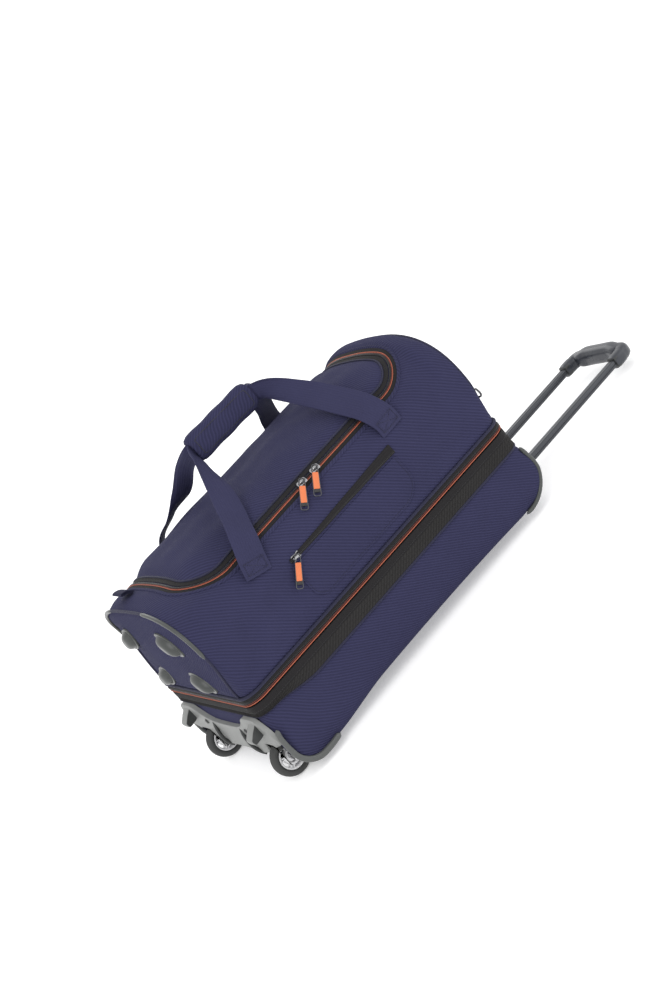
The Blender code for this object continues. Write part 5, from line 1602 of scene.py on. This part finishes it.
def build_housing_rails():
    """The rail round each lower corner of the base at the wheel end, thickest under the corner."""
    proud = 2.4 * MM
    radius = BASE_CORNER_WHEEL + proud
    centre_x, centre_z = -HALF_L + BASE_CORNER_WHEEL, BASE_Z + BASE_CORNER_WHEEL + 3.0 * MM
    angle = np.radians(180 + np.linspace(0, 90, 18))
    arc = np.column_stack([centre_x + radius * np.cos(angle), centre_z + radius * np.sin(angle)])
    upper = [(-HALF_L + 1 * MM, 0.082), (-HALF_L - 2 * MM, 0.070), (-HALF_L - 2.8 * MM, 0.055)]
    tail = [(-0.212, centre_z - radius), (-0.197, centre_z - radius + 1.5 * MM)]
    x, z = np.vstack([upper, arc, tail]).T
    for side, label in SIDES:
        path = curve_through(np.column_stack([x, np.full(len(x), side * (HALF_W + proud)), z]), 2.5 * MM)
        thick = 0.8 + 0.3 * bell(path_length(path) - 0.075, 0.05)
        profile = round_profile(3.6 * MM, 3.8 * MM, 16, 2.8)[None] * thick[:, None, None]
        tube_piece(f"housing_rail_{label}", path, 4 * MM, rail_plastic, (0, side, 0), "base", "grey_plastic",
                   profile=profile, taper=5 * MM)


# ---------------------------------------------------------------- pull handle

def grooved_profile(half_y, half_z):
    """A rounded rectangular tube with a shallow groove along the middle of each of its four faces."""
    outline = rounded_rectangle(-half_y, half_y, -half_z, half_z, (3.0 * MM,) * 4, 5)
    groove, depth = 1.1 * MM, 0.7 * MM
    bites = [(-groove, 0), (-groove * 0.6, depth), (groove * 0.6, depth), (groove, 0)]
    made = []
    for k, corner in enumerate(np.split(outline, 4)):
        half = half_y if k % 2 else half_z
        cos, sin = ((1, 0), (0, 1), (-1, 0), (0, -1))[k]
        made += list(corner)
        made += [(along * cos - (deep - half) * sin, along * sin + (deep - half) * cos)
                 for along, deep in bites]
    return np.array(made)


def build_pull_handle():
    """The two tubes, drawn from their inner ends to inside the grip's collars, and the grip."""
    grip_low, grip_high = case_box("pull_grip")
    for _, label in SIDES:
        low, high = case_box(f"inner_tube_{label}")
        _, y, z = (low + high) / 2
        profile = grooved_profile((high[1] - low[1]) / 2, (high[2] - low[2]) / 2)
        tube = loft([upright_ring(x, profile + (y, z)) for x in (low[0], grip_low[0] + 24 * MM)])
        add_part(f"drawn_tube_{label}", tube, tube_metal, "pull_handle", "tube_metal",
                 (f"inner_tube_{label}",), 35)
    build_grip(grip_low[0] + 12 * MM, grip_high[0] - 11.5 * MM, y, z)


COLLAR_LAYERS = ((0.0, 0.92), (0.6, 1.0), (7.0, 1.06), (8.5, 1.0))      # (mm from the inner end, scale)


def build_grip(start, bar, tube_y, tube_z):
    """The grip, from x = start to a bowed bar at x = bar that swells at its shoulders, with a collar round
    each tube."""
    half = [
        (start - 1 * MM, -tube_y), (start + 14 * MM, -tube_y), (start + 28 * MM, -tube_y + 6 * MM),
        (bar - 3 * MM, -tube_y + 19 * MM), (bar, -tube_y + 34 * MM), (bar, 0),
    ]
    outline = half + [(x, -y) for x, y in reversed(half[:-1])]
    path = curve_through([(x, y, tube_z) for x, y in outline], 2 * MM)
    share = np.abs(path[:, 1]) / tube_y
    half_thick = 11.4 * MM - 1.2 * MM * smoothstep(share, 0.3, 1) + 0.8 * MM * bell(share - 0.75, 0.18)
    half_tall = 14.6 * MM - 4.2 * MM * smoothstep(share, 0.45, 1)
    profile = round_profile(1, 1, 32, 2.7)[None] * np.stack([half_tall, half_thick], axis=1)[:, None]
    run = path_length(path)
    near = np.minimum(run, run[-1] - run)
    swell = 0.93 + 0.07 * smoothstep(near, 0, 5 * MM)
    groove = 1 - 0.035 * bell(near - 20 * MM, 0.8 * MM)
    body = loft(sweep(path, UPRIGHT, profile * (swell * groove)[:, None, None]))
    add_part("pull_grip_body", body, grip_plastic, "pull_handle", "dark_plastic", ("pull_grip",), 50)
    collar = rounded_rectangle(-9.3 * MM, 9.3 * MM, -8.2 * MM, 8.2 * MM, (3.4 * MM,) * 4, 5)
    parts = []
    for side, _ in SIDES:
        parts.append(loft([upright_ring(start - 1.5 * MM + dx * MM, collar * scale + (side * tube_y, tube_z))
                           for dx, scale in COLLAR_LAYERS]))
    add_part("pull_grip_collars", merge_parts(parts), dark_plastic, "pull_handle", "dark_plastic")


# ---------------------------------------------------------------- CAD nodes that stay

def dress_cad_nodes():
    """Gives the CAD nodes that stay their materials, by the start of their names."""
    finishes = {
        "axle": steel, "bearing": steel, "base_glide": dark_plastic, "expansion_gusset": gusset_fabric,
        "floor_panel": lining, "guide_plug": dark_plastic, "handle_end_ring": gunmetal,
        "housing_screw": dark_plastic, "outer_tube": tube_metal, "release_button": grip_plastic,
        "release_rod": steel, "tube_bezel": dark_plastic, "tube_foot": dark_plastic,
    }
    for name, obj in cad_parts.items():
        for start, finish in finishes.items():
            if name.startswith(start) and not obj.hide_render:
                obj.data.materials.clear()
                obj.data.materials.append(finish)
    for name, width in (("tube_bezel", 0.6), ("release_button", 0.5)):
        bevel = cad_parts[name].modifiers.new("soft_edges", "BEVEL")
        bevel.width = width * MM
        bevel.segments = 3
        bevel.limit_method = "ANGLE"
        bevel.angle_limit = math.radians(35)


# ---------------------------------------------------------------- studio

def build_camera(scene):
    """A camera that looks down at the bag's front and wheel end, rolled so that the handle points up."""
    azimuth, elevation, roll = math.radians(20.3), math.radians(16.4), math.radians(-41.4)
    distance, lens = 2.178, 57.6
    target = np.array([CENTRE_X + 0.059, 0, 0.179])
    back = np.array([-math.sin(azimuth) * math.cos(elevation), -math.cos(azimuth) * math.cos(elevation),
                     math.sin(elevation)])
    right = np.array([math.cos(azimuth), -math.sin(azimuth), 0])
    up = np.cross(back, right)
    turned_right = right * math.cos(roll) + up * math.sin(roll)
    turned_up = -right * math.sin(roll) + up * math.cos(roll)
    data = bpy.data.cameras.new("camera")
    data.lens = lens
    camera = bpy.data.objects.new("camera", data)
    matrix = np.eye(4)
    matrix[:3] = np.column_stack([turned_right, turned_up, back, target + back * distance])
    camera.matrix_world = Matrix(matrix.tolist())
    scene.collection.objects.link(camera)
    scene.camera = camera


def build_studio():
    """Camera, white surroundings, three soft lights and a white floor."""
    scene = bpy.context.scene
    build_camera(scene)
    world = bpy.data.worlds.new("studio")
    scene.world = world
    world.use_nodes = True
    background = world.node_tree.nodes["Background"].inputs
    background[0].default_value = (1, 1, 1, 1)
    background[1].default_value = 1.1
    for name, place, size, power, aim in (
        ("key", (-1.6, -2.2, 2.6), 2.2, 34, (0, 0, 0.15)),
        ("fill", (2.4, -1.8, 1.2), 2.4, 16, (0, 0, 0.15)),
        ("rim", (0.6, 2.6, 2.0), 2.0, 16, (0, 0, 0.2)),
    ):
        light = bpy.data.lights.new(name, "AREA")
        light.energy = power
        light.size = size
        obj = bpy.data.objects.new(name, light)
        obj.location = place
        obj.rotation_mode = "QUATERNION"
        obj.rotation_quaternion = (Vector(aim) - Vector(place)).to_track_quat("-Z", "Y")
        scene.collection.objects.link(obj)
    floor_paint = Shader("floor_paint", roughness=0.9, specular=0.1)
    floor_paint.colours(floor_paint.noise(2.0, 2), [(0.0, (0.80, 0.80, 0.80)), (1.0, (0.82, 0.82, 0.82))])
    floor_paint.surface.inputs["Emission Color"].default_value = (1, 1, 1, 1)
    floor_paint.surface.inputs["Emission Strength"].default_value = 0.36
    bpy.ops.mesh.primitive_plane_add(size=60, location=(0, 0, 0))
    floor = bpy.context.object
    floor.name = "floor"
    floor.data.materials.append(floor_paint.material)
    scene.view_settings.view_transform = "Standard"


build_studio()
build_case_cloth()
build_lid_hinge()
build_end_panels()
build_lid_zip()
build_end_seams()
build_band()
build_base_cloth()
build_base_trim()
build_pocket()
build_pocket_zip()
build_carry_handles()
build_feet()
build_tabs()
build_sliders()
build_wheels()
build_housing()
build_housing_rails()
build_pull_handle()
dress_cad_nodes()
